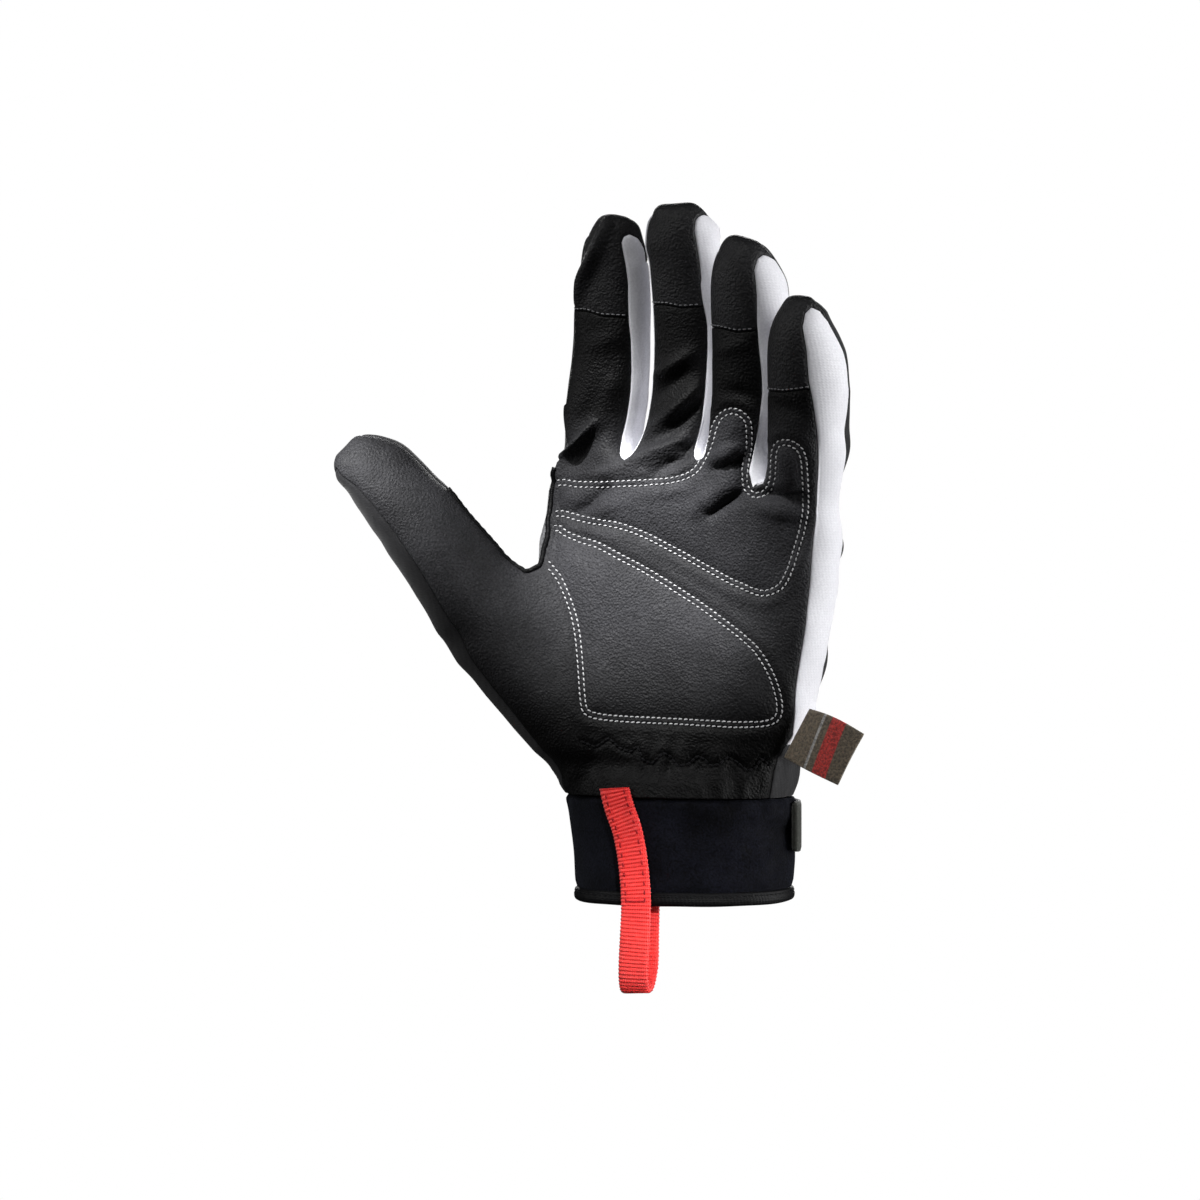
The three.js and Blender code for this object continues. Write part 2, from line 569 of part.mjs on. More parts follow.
function cuffBody() {
  const rings = [], around = 36, up = 4;
  for (let k = 0; k < around; k++) {
    const deg = 360 * k / around, ring = [];
    for (let i = 0; i <= up; i++) {
      const [z, x, a, b] = through(CUFF, 4 * (up - i) / up);
      ring.push(round(x, a, b, deg, z + hemRise(deg) * (1 - (z - 2.1) / 31.05)));
    }
    for (let i = up; i >= 0; i--) {
      const [z, x, a, b] = through(CUFF, 4 * (up - i) / up);
      ring.push(round(x, a - CUFF_WALL, b - CUFF_WALL, deg,
        z + hemRise(deg) * (1 - (z - 2.1) / 31.05)));
    }
    rings.push(ring);
  }
  return outward(loopBody(rings, false));
}

function bindingBody() {
  const { z0, z1, a, b, wall, x } = BINDING, rings = [], around = 36;
  const zc = (z0 + z1) / 2, h = (z1 - z0) / 2;
  for (let k = 0; k < around; k++) {
    const ring = [];
    for (let i = 0; i < 8; i++) {
      const q = 2 * Math.PI * i / 8, c = Math.cos(q), s = Math.sin(q);
      const r = -wall / 2 + wall / 2 * Math.sign(c) * Math.abs(c) ** 0.7;
      const deg = 360 * k / around;
      ring.push(round(x, a + r, b + r, deg, zc + hemRise(deg) + h * Math.sign(s) * Math.abs(s) ** 0.7));
    }
    rings.push(ring);
  }
  return outward(loopBody(rings, false));
}

function ribbonBody(path, widthDir, width, thick, steps) {
  const rings = [];
  for (let i = 0; i <= steps; i++) {
    const t = (path.length - 1) * i / steps;
    const p = through(path, t), tan = unit(axisAt(path, t));
    let w = widthDir(t, p);
    w = unit(add(w, tan, -dot(w, tan)));
    const n = cross(tan, w);
    const at = (u, v) => add(add(p, w, u * width / 2), n, v * thick / 2);
    rings.push([at(-1, -0.6), at(-0.9, -1), at(0.9, -1), at(1, -0.6),
      at(1, 0.6), at(0.9, 1), at(-0.9, 1), at(-1, 0.6)]);
  }
  return outward(loopBody(rings, true));
}

function labelBody() {
  const rings = [], steps = 6, [p, q, r, s] = LABEL;
  const n = unit(cross(sub(s, p), sub(q, p)));
  for (let i = 0; i <= steps; i++) {
    const t = i / steps, bow = 1.6 * Math.sin(Math.PI * t);
    const a = add(add(p, sub(s, p), t), n, -bow), b = add(add(q, sub(r, q), t), n, -bow);
    rings.push([add(a, n, LABEL_THICK / 2), add(b, n, LABEL_THICK / 2),
      add(b, n, -LABEL_THICK / 2), add(a, n, -LABEL_THICK / 2)]);
  }
  return outward(loopBody(rings, true));
}

function strapBody() {
  const { z0, z1, from, to, gap, lift } = STRAP, rings = [], steps = 15;
  for (let i = 0; i <= steps; i++) {
    const t = i / steps, deg = from + (to - from) * t;
    const off = gap + lift * Math.max(0, 1 - t / 0.22) ** 2;
    const inset = 1.2 * (Math.max(0, 0.06 - t) / 0.06 + Math.max(0, t - 0.94) / 0.06);
    const zs = [z0 + inset, z1 - inset], out = [];
    const at = (z, extra) => {
      const row = CUFF.findIndex((r) => r[0] <= z), hi = CUFF[row - 1], lo = CUFF[row];
      const f = (z - lo[0]) / (hi[0] - lo[0]);
      const [, x, a, b] = lo.map((v, c) => v + (hi[c] - v) * f);
      return round(x, a + off + extra, b + off + extra, deg, z);
    };
    for (const f of [0, 1 / 3, 2 / 3, 1]) out.push(at(zs[0] + (zs[1] - zs[0]) * f, 0.35));
    for (const f of [1, 2 / 3, 1 / 3, 0]) out.push(at(zs[0] + (zs[1] - zs[0]) * f, 0.35 + STRAP_THICK));
    rings.push(out);
  }
  return outward(loopBody(rings, true));
}

// ---- assembly -------------------------------------------------------------
const group = new THREE.Group();
group.name = 'cycling_glove';
const { V, Q } = handNet();
const N = normals(V, Q);
const capRow = {};
for (const [k, z] of Object.entries(CAP_Z)) {
  const rings = Q.filter((q) => q.zone === 'palm' && q.digit === k && q.row >= 100);
  let best = 1e9;
  for (const q of rings) {
    const zq = (V[q.v[0]][2] + V[q.v[1]][2]) / 2;
    if (Math.abs(zq - z) < best) { best = Math.abs(zq - z); capRow[k] = q.row; }
  }
}
const panels = {};
for (const q of Q) (panels[panelOf(q, V, capRow)] ??= []).push(q);
const PANEL_COLOURS = {
  palm_panel: COLOURS.leather, back_panel: COLOURS.back, back_thumb: COLOURS.back,
  back_index: COLOURS.back, back_middle: COLOURS.back, back_ring: COLOURS.back,
  back_little: COLOURS.back,
  fourchette_index_middle: COLOURS.white, fourchette_middle_ring: COLOURS.white,
  fourchette_ring_little: COLOURS.white, outer_side_panel: COLOURS.white,
  thumb_gusset: COLOURS.mesh, tip_cap_index: COLOURS.cap, tip_cap_middle: COLOURS.cap,
  tip_cap_ring: COLOURS.cap, tip_cap_little: COLOURS.cap,
};
// tight folds at the webs: the leather and the back give way to the side walls
const SIDE_WALLS = ['fourchette_index_middle', 'fourchette_middle_ring',
  'fourchette_ring_little', 'thumb_gusset'];
const fold = SIDE_WALLS.map((name) => toManifold(
  panelBody(V, N, panels[name], 0.15, -WALL - 0.15, SEAM_GAP)));
for (const [name, colour] of Object.entries(PANEL_COLOURS)) {
  let body = panelBody(V, N, panels[name], 0, -WALL, SEAM_GAP);
  if (name === 'palm_panel' || name.startsWith('back_')) {
    const cut = fold.reduce((m, f) => m.subtract(f), toManifold(body));
    body = fromManifold(cut.decompose().sort((a, b) => b.volume() - a.volume())[0]);
  }
  group.add(toMesh(body, name, colour));
}
const palmQuads = Q.filter((q) => q.zone === 'palm' && q.digit !== 'thumb' && q.row < 103);
const slab = toManifold(panelBody(V, N, palmQuads, PAD_GAP + PAD_RISE, PAD_GAP, 0.6));
for (const [name, outline] of [['pad_upper', PAD_UPPER], ['pad_lower', PAD_LOWER]]) {
  const cut = slab.intersect(toManifold(outward(outlinePrism(outline, -70, -4, 1))));
  const whole = cut.decompose().sort((a, b) => b.volume() - a.volume())[0];
  group.add(toMesh(fromManifold(whole), name, COLOURS.pad));
}
group.add(toMesh(cuffBody(), 'cuff', COLOURS.neoprene));
group.add(toMesh(bindingBody(), 'cuff_binding', COLOURS.binding));
const across_front = (t, p) => {
  const tilt = t < 4 ? 0.33 - 0.07 * t : 0.04;
  return [1, 0.13, tilt];
};
group.add(toMesh(ribbonBody(LOOP, across_front, WEB_WIDTH, WEB_THICK, 28), 'pull_loop', COLOURS.red));
group.add(toMesh(labelBody(), 'side_label', COLOURS.olive));
group.add(toMesh(strapBody(), 'closure_strap', COLOURS.tab));

export default group;
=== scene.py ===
# Full-finger cycling glove, left hand, palm toward -Y. Lengths in the tables
# are millimetres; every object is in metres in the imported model's frame.
import bpy
import json
import math
import numpy as np
from mathutils import Vector, kdtree, geometry
from mathutils.bvhtree import BVHTree
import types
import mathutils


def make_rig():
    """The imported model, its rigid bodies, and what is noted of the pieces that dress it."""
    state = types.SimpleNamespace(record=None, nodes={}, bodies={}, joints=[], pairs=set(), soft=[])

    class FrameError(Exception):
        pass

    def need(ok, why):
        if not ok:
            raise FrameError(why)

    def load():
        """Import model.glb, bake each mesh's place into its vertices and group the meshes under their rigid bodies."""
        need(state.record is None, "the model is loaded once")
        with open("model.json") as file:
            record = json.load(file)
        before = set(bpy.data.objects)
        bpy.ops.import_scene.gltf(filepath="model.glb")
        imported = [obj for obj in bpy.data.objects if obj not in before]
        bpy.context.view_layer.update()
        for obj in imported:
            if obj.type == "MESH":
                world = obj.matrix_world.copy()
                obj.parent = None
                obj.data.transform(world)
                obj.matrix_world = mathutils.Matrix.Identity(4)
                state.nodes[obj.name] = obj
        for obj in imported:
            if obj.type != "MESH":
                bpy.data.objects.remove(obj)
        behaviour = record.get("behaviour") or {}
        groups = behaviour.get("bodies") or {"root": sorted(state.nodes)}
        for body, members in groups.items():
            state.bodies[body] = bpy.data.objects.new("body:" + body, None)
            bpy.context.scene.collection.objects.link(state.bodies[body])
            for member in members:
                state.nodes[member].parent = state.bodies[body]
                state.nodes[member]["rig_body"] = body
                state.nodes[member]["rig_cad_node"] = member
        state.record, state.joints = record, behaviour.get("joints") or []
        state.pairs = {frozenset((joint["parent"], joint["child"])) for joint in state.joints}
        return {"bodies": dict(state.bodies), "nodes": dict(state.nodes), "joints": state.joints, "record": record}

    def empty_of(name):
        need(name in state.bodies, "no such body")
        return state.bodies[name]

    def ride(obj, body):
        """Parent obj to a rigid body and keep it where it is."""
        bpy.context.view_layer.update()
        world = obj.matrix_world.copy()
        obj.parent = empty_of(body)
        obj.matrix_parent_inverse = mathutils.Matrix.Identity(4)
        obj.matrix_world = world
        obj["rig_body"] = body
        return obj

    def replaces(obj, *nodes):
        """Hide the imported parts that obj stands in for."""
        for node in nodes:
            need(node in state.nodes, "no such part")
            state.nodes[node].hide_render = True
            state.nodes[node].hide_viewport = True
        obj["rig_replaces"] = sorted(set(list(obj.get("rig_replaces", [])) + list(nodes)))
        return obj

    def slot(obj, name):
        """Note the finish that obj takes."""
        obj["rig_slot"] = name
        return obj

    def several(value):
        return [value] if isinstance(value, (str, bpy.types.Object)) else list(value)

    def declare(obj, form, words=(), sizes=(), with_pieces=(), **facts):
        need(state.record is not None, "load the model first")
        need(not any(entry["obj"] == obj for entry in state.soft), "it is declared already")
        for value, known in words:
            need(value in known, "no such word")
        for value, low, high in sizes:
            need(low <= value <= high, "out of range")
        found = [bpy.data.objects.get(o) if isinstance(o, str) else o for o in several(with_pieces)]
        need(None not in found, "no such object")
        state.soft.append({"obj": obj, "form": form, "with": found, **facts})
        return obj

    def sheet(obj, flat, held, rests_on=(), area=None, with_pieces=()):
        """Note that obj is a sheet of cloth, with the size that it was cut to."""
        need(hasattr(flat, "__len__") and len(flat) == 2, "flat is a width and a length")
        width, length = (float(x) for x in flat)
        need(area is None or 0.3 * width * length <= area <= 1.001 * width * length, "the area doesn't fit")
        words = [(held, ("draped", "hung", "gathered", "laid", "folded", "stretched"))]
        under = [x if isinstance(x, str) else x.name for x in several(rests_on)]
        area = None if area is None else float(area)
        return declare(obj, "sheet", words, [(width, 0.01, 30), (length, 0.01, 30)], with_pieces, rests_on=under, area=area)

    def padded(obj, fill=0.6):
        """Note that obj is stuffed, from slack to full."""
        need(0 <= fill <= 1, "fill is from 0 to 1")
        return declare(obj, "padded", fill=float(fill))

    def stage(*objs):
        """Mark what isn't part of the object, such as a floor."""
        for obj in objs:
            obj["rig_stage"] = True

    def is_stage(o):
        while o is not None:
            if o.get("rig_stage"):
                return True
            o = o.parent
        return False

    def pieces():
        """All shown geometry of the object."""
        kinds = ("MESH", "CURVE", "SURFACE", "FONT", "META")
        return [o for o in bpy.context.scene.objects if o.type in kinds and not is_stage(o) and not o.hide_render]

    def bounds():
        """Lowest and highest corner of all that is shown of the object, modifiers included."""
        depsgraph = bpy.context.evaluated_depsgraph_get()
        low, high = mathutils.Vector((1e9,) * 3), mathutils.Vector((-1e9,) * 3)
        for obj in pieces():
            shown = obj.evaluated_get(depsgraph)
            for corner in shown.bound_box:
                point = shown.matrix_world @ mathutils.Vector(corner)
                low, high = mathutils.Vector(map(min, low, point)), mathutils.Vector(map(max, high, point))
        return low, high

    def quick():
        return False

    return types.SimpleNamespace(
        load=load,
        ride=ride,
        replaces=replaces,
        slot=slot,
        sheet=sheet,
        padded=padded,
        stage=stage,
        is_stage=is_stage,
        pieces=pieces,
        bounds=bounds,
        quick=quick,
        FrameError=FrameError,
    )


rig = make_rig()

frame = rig.load()
CAD_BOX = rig.bounds()
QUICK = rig.quick()
MM = 0.001
SCENE = bpy.context.scene
rng = np.random.default_rng(11)

# ---- camera: level, 22 degrees round to the little-finger side --------------
AZ = math.radians(22.0)
CA, SA = math.cos(AZ), math.sin(AZ)
VIEW_D, VIEW_K = 1000.0, 0.325          # distance, mm per pixel of 1200
VIEW_X, VIEW_Z = -27.6, 96.5            # point in the middle of the frame
cam_data = bpy.data.cameras.new("camera")
cam = bpy.data.objects.new("camera", cam_data)
SCENE.collection.objects.link(cam)
SCENE.camera = cam
cam_data.sensor_width = 36.0
cam_data.lens = 36.0 * VIEW_D / (VIEW_K * 1200)
cam.location = ((VIEW_X * CA + VIEW_D * SA) * MM, (VIEW_X * SA - VIEW_D * CA) * MM, VIEW_Z * MM)
cam.rotation_euler = (math.radians(90), 0, AZ)
cam_data.clip_start, cam_data.clip_end = 0.05, 50

# ---- tables -----------------------------------------------------------------
M, S = 4, 3
ROWS_WEB, ROWS_PALM = 9, 13
WRIST_Z, WRIST_X, WRIST_A, WRIST_B = 33.5, -1.5, 39.0, 27.0
SECTION_POWER = 2.25
# centre x, y, z, width, depth, twist
DIGITS = {
    "thumb": [
        [-58.9, -15.5, 86.0, 34.0, 33.0, -35], [-70.2, -20.5, 102.4, 29.5, 29.5, -40],
        [-80.6, -24.5, 118.5, 27.5, 27.0, -42], [-90.7, -27.5, 132.0, 26.0, 23.0, -42],
        [-97.6, -29.0, 139.0, 24.4, 20.0, -42], [-103.3, -30.0, 143.0, 20.6, 15.5, -42],
        [-106.7, -30.5, 144.8, 14.5, 10.0, -42]],
    "index": [
        [-28.6, -1.0, 141.8, 24.0, 25.0, 0], [-25.4, -3.0, 162.0, 26.0, 24.5, 0],
        [-23.4, -5.5, 178.1, 25.6, 23.0, 0], [-20.9, -9.0, 194.0, 24.0, 21.5, 0],
        [-19.8, -12.0, 205.9, 22.2, 19.0, 0], [-19.2, -14.5, 212.8, 19.4, 15.5, 0],
        [-18.6, -16.5, 217.4, 15.6, 12.0, 0], [-18.4, -17.5, 219.5, 10.5, 7.5, 0]],
    "middle": [
        [-2.2, -3.0, 141.3, 22.5, 26.0, 2], [3.9, -5.0, 161.1, 25.0, 24.5, 5],
        [5.5, -7.5, 177.0, 24.6, 23.0, 6], [5.8, -11.0, 192.8, 24.6, 21.5, 6],
        [5.7, -14.5, 205.3, 23.6, 20.0, 6], [5.8, -17.5, 213.0, 21.8, 17.5, 6],
        [5.0, -19.5, 218.5, 18.8, 14.0, 6], [4.6, -20.5, 221.0, 14.0, 9.5, 6]],
    "ring": [
        [21.8, -8.0, 138.1, 21.0, 26.0, 6], [27.8, -14.5, 156.2, 25.0, 24.5, 12],
        [29.8, -18.5, 167.6, 25.8, 24.0, 14], [30.8, -22.5, 181.4, 26.0, 23.0, 15],
        [31.4, -27.0, 193.6, 25.0, 21.5, 16], [31.1, -30.0, 201.4, 21.5, 18.0, 16],
        [31.5, -32.0, 206.2, 17.5, 13.5, 16], [31.9, -33.0, 208.5, 12.0, 8.5, 16]],
    "little": [
        [45.2, -14.5, 132.5, 22.0, 26.0, 10], [49.8, -23.0, 146.5, 24.4, 24.5, 15],
        [51.5, -29.0, 158.5, 25.0, 23.5, 19], [52.6, -33.5, 168.4, 25.0, 22.5, 23],
        [52.3, -37.5, 177.0, 22.0, 20.0, 25], [52.3, -39.5, 181.8, 18.4, 16.5, 25],
        [52.5, -41.0, 185.6, 14.2, 12.2, 25], [52.8, -42.0, 187.7, 9.5, 7.5, 25]],
}
SEAM_ANGLES = {"thumb": (-56, 62, 118, -115), "index": (-65, 45, 115, -115),
               "middle": (-62, 45, 115, -115), "ring": (-60, 46, 115, -115),
               "little": (-60, 44, 118, -112)}
RINGS = {"thumb": 9, "index": 11, "middle": 11, "ring": 10, "little": 8}
FIRST = {"thumb": 0.62, "index": 0.28, "middle": 0.30, "ring": 0.38, "little": 0.5}
CAP_Z = {"index": 191, "middle": 193.5, "ring": 184.5, "little": 163.5}
# front x, z, front y, back x, back y at wrist, heel, mid palm, web, knuckles, finger web
LINES = {
    "thumb_index": [[-24.5, 33.5, -21.8, -24.5, 21.8], [-23.6, 57.7, -24, -22.6, 23],
                    [-32.7, 81.4, -22, -30.7, 14], [-42.9, 106, -17, -42.9, -3],
                    [-42, 124, -7.5, -41, 5], None],
    "index_middle": [[-10.3, 33.5, -26.3, -10.3, 26.3], [-11, 57, -22.5, -11, 22],
                     [-12, 81, -18, -12, 18], [-13.5, 105.5, -16, -13.5, 16],
                     [-14, 124, -15.5, -14, 14], [-14.2, 142, -16.5, -14.2, 9]],
    "middle_ring": [[4.6, 33.5, -26.7, 4.6, 26.7], [6, 57, -22, 6, 22],
                    [7, 81, -17.5, 7, 18.5], [8.5, 105.5, -15.5, 8.5, 16],
                    [10, 124, -16, 10, 14], [11.5, 141.5, -18.5, 11.5, 7.5]],
    "ring_little": [[20.3, 33.5, -22.4, 20.3, 22.4], [22, 57, -21.5, 22, 20],
                    [25, 81, -19, 25, 16.5], [29, 105.5, -18.5, 29, 13],
                    [32, 120, -20, 32.3, 8.5], [34.2, 131.5, -22.5, 35.2, 2.5]],
    "little_outer": [[33, 33.5, -12.7, 33, 12.7], [41, 58.4, -15, 41, 10],
                     [46, 81.8, -17.5, 46.6, 5], [49.5, 104.7, -20, 49.5, 1],
                     [51.8, 120.9, -22, 52.4, -2], None],
}
STATION_ROW = [0, 3, 6, 9, 11, 13]
EDGE_BULGE = [2.5, 4, 4.5, 5, 5, 5]
THUMB_BASE = [[-36.7, -3, 50.2, 31, 46, -18], [-47.5, -8, 68.9, 34.5, 42, -27],
              [-59.8, -15, 92.6, 34, 34, -35]]
THUMB_BASE_AXIS = (-21.3, -12, 41.4)
PAD_UPPER = [
    [-42.25, 134.88], [-35.1, 134.88], [-27.62, 134.81], [-19.5, 135.14],
    [-11.38, 135.49], [-4.88, 136.01], [0, 137.31], [2.6, 138.78],
    [4.35, 140.85], [5.85, 143.81], [7.15, 146.58], [8.12, 149.5],
    [8.68, 152.1], [9.43, 153.85], [10.33, 155.68], [11.54, 157.1],
    [13.58, 158.41], [15.6, 158.76], [17.71, 158.28], [19.5, 157.1],
    [20.73, 155.81], [21.58, 153.73], [21.77, 150.8], [21.71, 147.35],
    [21.38, 144.4], [20.8, 141.44], [20.41, 138.78], [20.25, 136.18],
    [20.6, 133.9], [21.61, 132.11], [23.24, 131.3], [25.02, 131.69],
    [26.42, 132.76], [27.46, 134.55], [27.88, 136.83], [28.02, 139.1],
    [28.05, 141.44], [28.21, 143.65], [28.6, 145.6], [29.32, 147.06],
    [30.55, 148.1], [31.85, 148.53], [33.48, 148.53], [34.94, 148.1],
    [36.4, 147.35], [37.54, 146.45], [38.45, 145.18], [39.13, 143.49],
    [39.49, 141.44], [39.65, 139.43], [39.88, 135.53], [40.07, 131.95],
    [40.14, 128.44], [39.98, 125.45], [39.58, 122.53], [39, 119.28],
    [38.12, 116.03], [37.21, 113.1], [36.47, 110.5], [35.43, 107.15],
    [34.29, 104.49], [33.25, 102.38], [32.01, 100.55], [30.55, 99.45],
    [28.76, 98.48], [26.81, 97.89], [24.83, 97.83], [22.75, 98.31],
    [20.67, 99.19], [18.33, 100.33], [15.6, 101.4], [13.58, 102.44],
    [11.21, 103.68], [7.67, 105.69], [4.13, 107.64], [0, 110.01],
    [-4.13, 112.19], [-7.67, 114.01], [-11.21, 115.9], [-14.79, 117.52],
    [-18.33, 118.85], [-21.87, 119.86], [-25.42, 120.58], [-28.93, 121.13],
    [-32.83, 121.81], [-36.4, 122.75], [-39.65, 123.7], [-42.25, 124.48]]
PAD_LOWER = [
    [-42.09, 120.58], [-38.35, 118.69], [-35.1, 117.33], [-32.17, 116.38],
    [-28.8, 115.38], [-26.75, 114.47], [-23.79, 112.94], [-20.54, 111.15],
    [-17.29, 109.46], [-14.04, 107.8], [-10.79, 105.95], [-7.54, 103.9],
    [-4, 101.73], [-0.75, 99.61], [2.8, 97.37], [6.05, 95.13],
    [9.3, 92.79], [12.25, 90.58], [15.21, 88.33], [18.46, 85.8],
    [21.45, 83.2], [23.73, 80.93], [25.55, 78.49], [27.3, 75.56],
    [28.8, 72.6], [30, 69.55], [30.88, 66.62], [31.46, 63.7],
    [31.59, 61.26], [31.3, 58.99], [30.29, 57.33], [28.5, 56.16],
    [26.33, 55.58], [22.91, 55.25], [16.41, 55.12], [9.91, 55.45],
    [3.41, 55.8], [-3.09, 56.16], [-9.59, 56.48], [-16.09, 56.75],
    [-22, 57.1], [-26.75, 57.59], [-30.29, 58.3], [-32.5, 59.38],
    [-33.54, 61.26], [-33.96, 64.35], [-34.29, 67.93], [-34.55, 72.6],
    [-34.9, 77.35], [-35.3, 81.9], [-35.75, 85.61], [-36.4, 89.15],
    [-37.25, 92.62], [-38.28, 95.65], [-39.55, 98.9], [-40.95, 101.98],
    [-42.64, 104.78], [-44.36, 107.25]]
CUFF = [[33.15, -1.5, 39.0, 27.2], [27.5, -0.7, 37.8, 26.6], [21.5, -1.1, 36.5, 26.2],
        [12.0, -0.3, 36.6, 26.2], [2.1, -0.4, 36.6, 26.2]]
BIND = dict(z0=-2.8, z1=1.75, a=36.95, b=26.8, wall=4.0, x=-0.45)
LOOP = [[-13.6, -27.9, 36.6], [-11.6, -28.6, 30.6], [-8.6, -29.1, 23],
        [-6.7, -29.4, 14], [-5.6, -29.8, 5], [-5.3, -30.2, -2],
        [-5.6, -30.4, -10], [-6.1, -30.2, -18], [-6.4, -29.4, -24.0],
        [-6.9, -26.3, -27.7], [-6.8, -23, -26.3], [-6.5, -20.4, -20],
        [-6.6, -19.5, -10], [-6.4, -19.5, 0], [-6.2, -20.2, 9]]
LABEL = [[47.1, -13.6, 62.2], [38.6, -13.6, 46.7], [58.0, -19.0, 38.7], [66.4, -18.6, 54.8]]
STRAP = dict(z0=15.9, z1=32.0, start=84, end=208, gap=0.2, lift=1.0)

# outline of the thumb side of the heel: z and how far x moves
HEEL_EDGE = [[35.4, 0], [39.3, 2.6], [43.2, 3.1], [47.1, 3.0], [51, 3.2], [54.9, 2.9],
             [58.8, 2.2], [62.7, 1.2], [66.6, 0], [70.5, -1], [74.4, -2.2], [78.3, -2.8], [82.2, -2.6],
             [86.1, -1.2], [90, 0]]

# zigzag stitching over the elastic, as the front view shows it
ZIG = [[-34.1, 50.7], [-28.9, 48.7], [-24.7, 51.6], [-21.1, 48.4], [-17.5, 47.1], [-15.3, 49.0], [-13.6, 44.5], [-10.7, 43.2], [-7.1, 46.8], [-4.5, 45.5], [-2.2, 42.5], [1.0, 43.2], [4.2, 45.8], [6.5, 44.8], [8.5, 42.5], [11.1, 43.2], [13.7, 45.5], [16.9, 43.9], [20.2, 40.9], [22.8, 41.9], [24.7, 45.1], [27.3, 42.9], [30.6, 45.1], [32.9, 43.2]]

# folds as the front view shows them: x0, z0, x1, z1, height, half width
FOLDS = [
    [-39.4, 142.8, -30.0, 154.0, 1.6, 1.0],
    [-37.6, 139.4, -27.0, 151.4, -1.0, 2.4],
    [-43.2, 136.2, -40, 142.7, 0.8, 1.6],
    [-35.7, 151.8, -27.6, 163.1, -0.5, 3],
    [-27.6, 159.9, -20.5, 170.6, 0.5, 3.2],
    [-9.7, 168.7, 2.3, 177.1, 1, 2],
    [-10.7, 162.2, 1.6, 170.6, -0.8, 2.2],
    [-11.4, 150.4, 4.6, 166.1, 1.2, 2],
    [-6.8, 149.2, 4.9, 160.2, -1, 2],
    [-18.5, 140.7, 1, 149.5, 1.1, 2],
    [-9.7, 137.8, 3.6, 146.2, -1.5, 2],
    [-14.6, 145.2, -5.5, 155, -0.8, 2.2],
    [-28.2, 137.4, -19.5, 141.3, 0.6, 2],
    [-34.8, 125.4, -25.7, 132.2, -1.3, 1.9],
    [-30.2, 122.5, -23.7, 127.4, 0.5, 2],
    [8.8, 142, 17.2, 145.9, 1.2, 1.6],
    [10.1, 138.8, 18.5, 142.7, -1, 1.8],
    [4.6, 125.8, 14.3, 133.6, 1, 2.4],
    [9.1, 125.1, 18.5, 131.6, -1.5, 2.2],
    [16.6, 143.6, 19.5, 132.2, -0.9, 1.6],
    [25.7, 130.6, 37.7, 129.3, -1.7, 1.9],
    [25.7, 126.7, 37.4, 125.1, 0.9, 2.4],
    [4.9, 135.5, 8.8, 127.4, 0.4, 2],
    [-14.6, 130.6, 1.6, 133.2, 0.4, 2.4],
    [14, 164.8, 21.8, 162.2, -0.7, 2],
    [11.4, 177.8, 19.5, 179.4, 0.4, 2.2],
    [29.6, 159.9, 37.4, 156.6, -0.5, 2.4],
    [-30.9, 179.4, -19.5, 182.6, 0.4, 3],
    [27.6, 96.5, 37.4, 109.5, 0.5, 2.5],
    [-36.1, 192.1, -25.3, 218.7, 1.9, 1.7],
    [-38.7, 184.2, -40.6, 148.5, 0.5, 2],
]

A3 = lambda p: np.array(p, float)


def through(rows, t):
    n = len(rows)
    i = max(min(int(math.floor(t)), n - 2), 0)
    f = t - i
    p1, p2 = A3(rows[i]), A3(rows[i + 1])
    p0 = A3(rows[i - 1]) if i > 0 else 2 * p1 - p2
    p3 = A3(rows[i + 2]) if i + 2 < n else 2 * p2 - p1
    f2, f3 = f * f, f ** 3
    return ((2 * f3 - 3 * f2 + 1) * p1 + (f3 - 2 * f2 + f) * (p2 - p0) / 2
            + (-2 * f3 + 3 * f2) * p2 + (f3 - f2) * (p3 - p1) / 2)


def section_point(row, axis, deg):
    x, y, z, w, d, twist = row
    t = A3(axis) / np.linalg.norm(axis)
    a = math.radians(twist)
    n = A3([-math.sin(a), -math.cos(a), 0])
    n = n - t * n.dot(t)
    n /= np.linalg.norm(n)
    side = np.cross(t, n)
    c, s = math.cos(math.radians(deg)), math.sin(math.radians(deg))
    e = 2 / SECTION_POWER
    return (A3([x, y, z]) + side * math.copysign(abs(s) ** e, s) * w / 2
            + n * math.copysign(abs(c) ** e, c) * d / 2)


def section(row, axis, ang):
    fl, fr, br, bl = ang
    q = ([fl + (fr - fl) * i / M for i in range(M)] + [fr + (br - fr) * i / S for i in range(S)]
         + [br + (bl + 360 - br) * i / M for i in range(M)] + [bl + (fl - bl) * i / S for i in range(S)])
    return [section_point(row, axis, d) for d in q]


def axis_at(rows, t):
    e, top = 0.02, len(rows) - 1
    return through(rows, min(t + e, top))[:3] - through(rows, max(t - e, 0))[:3]


def arc(p, q, tp, tq, n):
    out = []
    for i in range(1, n):
        t = i / n
        u = 1 - t
        out.append(u ** 3 * p + 3 * u * u * t * (p + A3(tp)) + 3 * u * t * t * (q + A3(tq)) + t ** 3 * q)
    return out


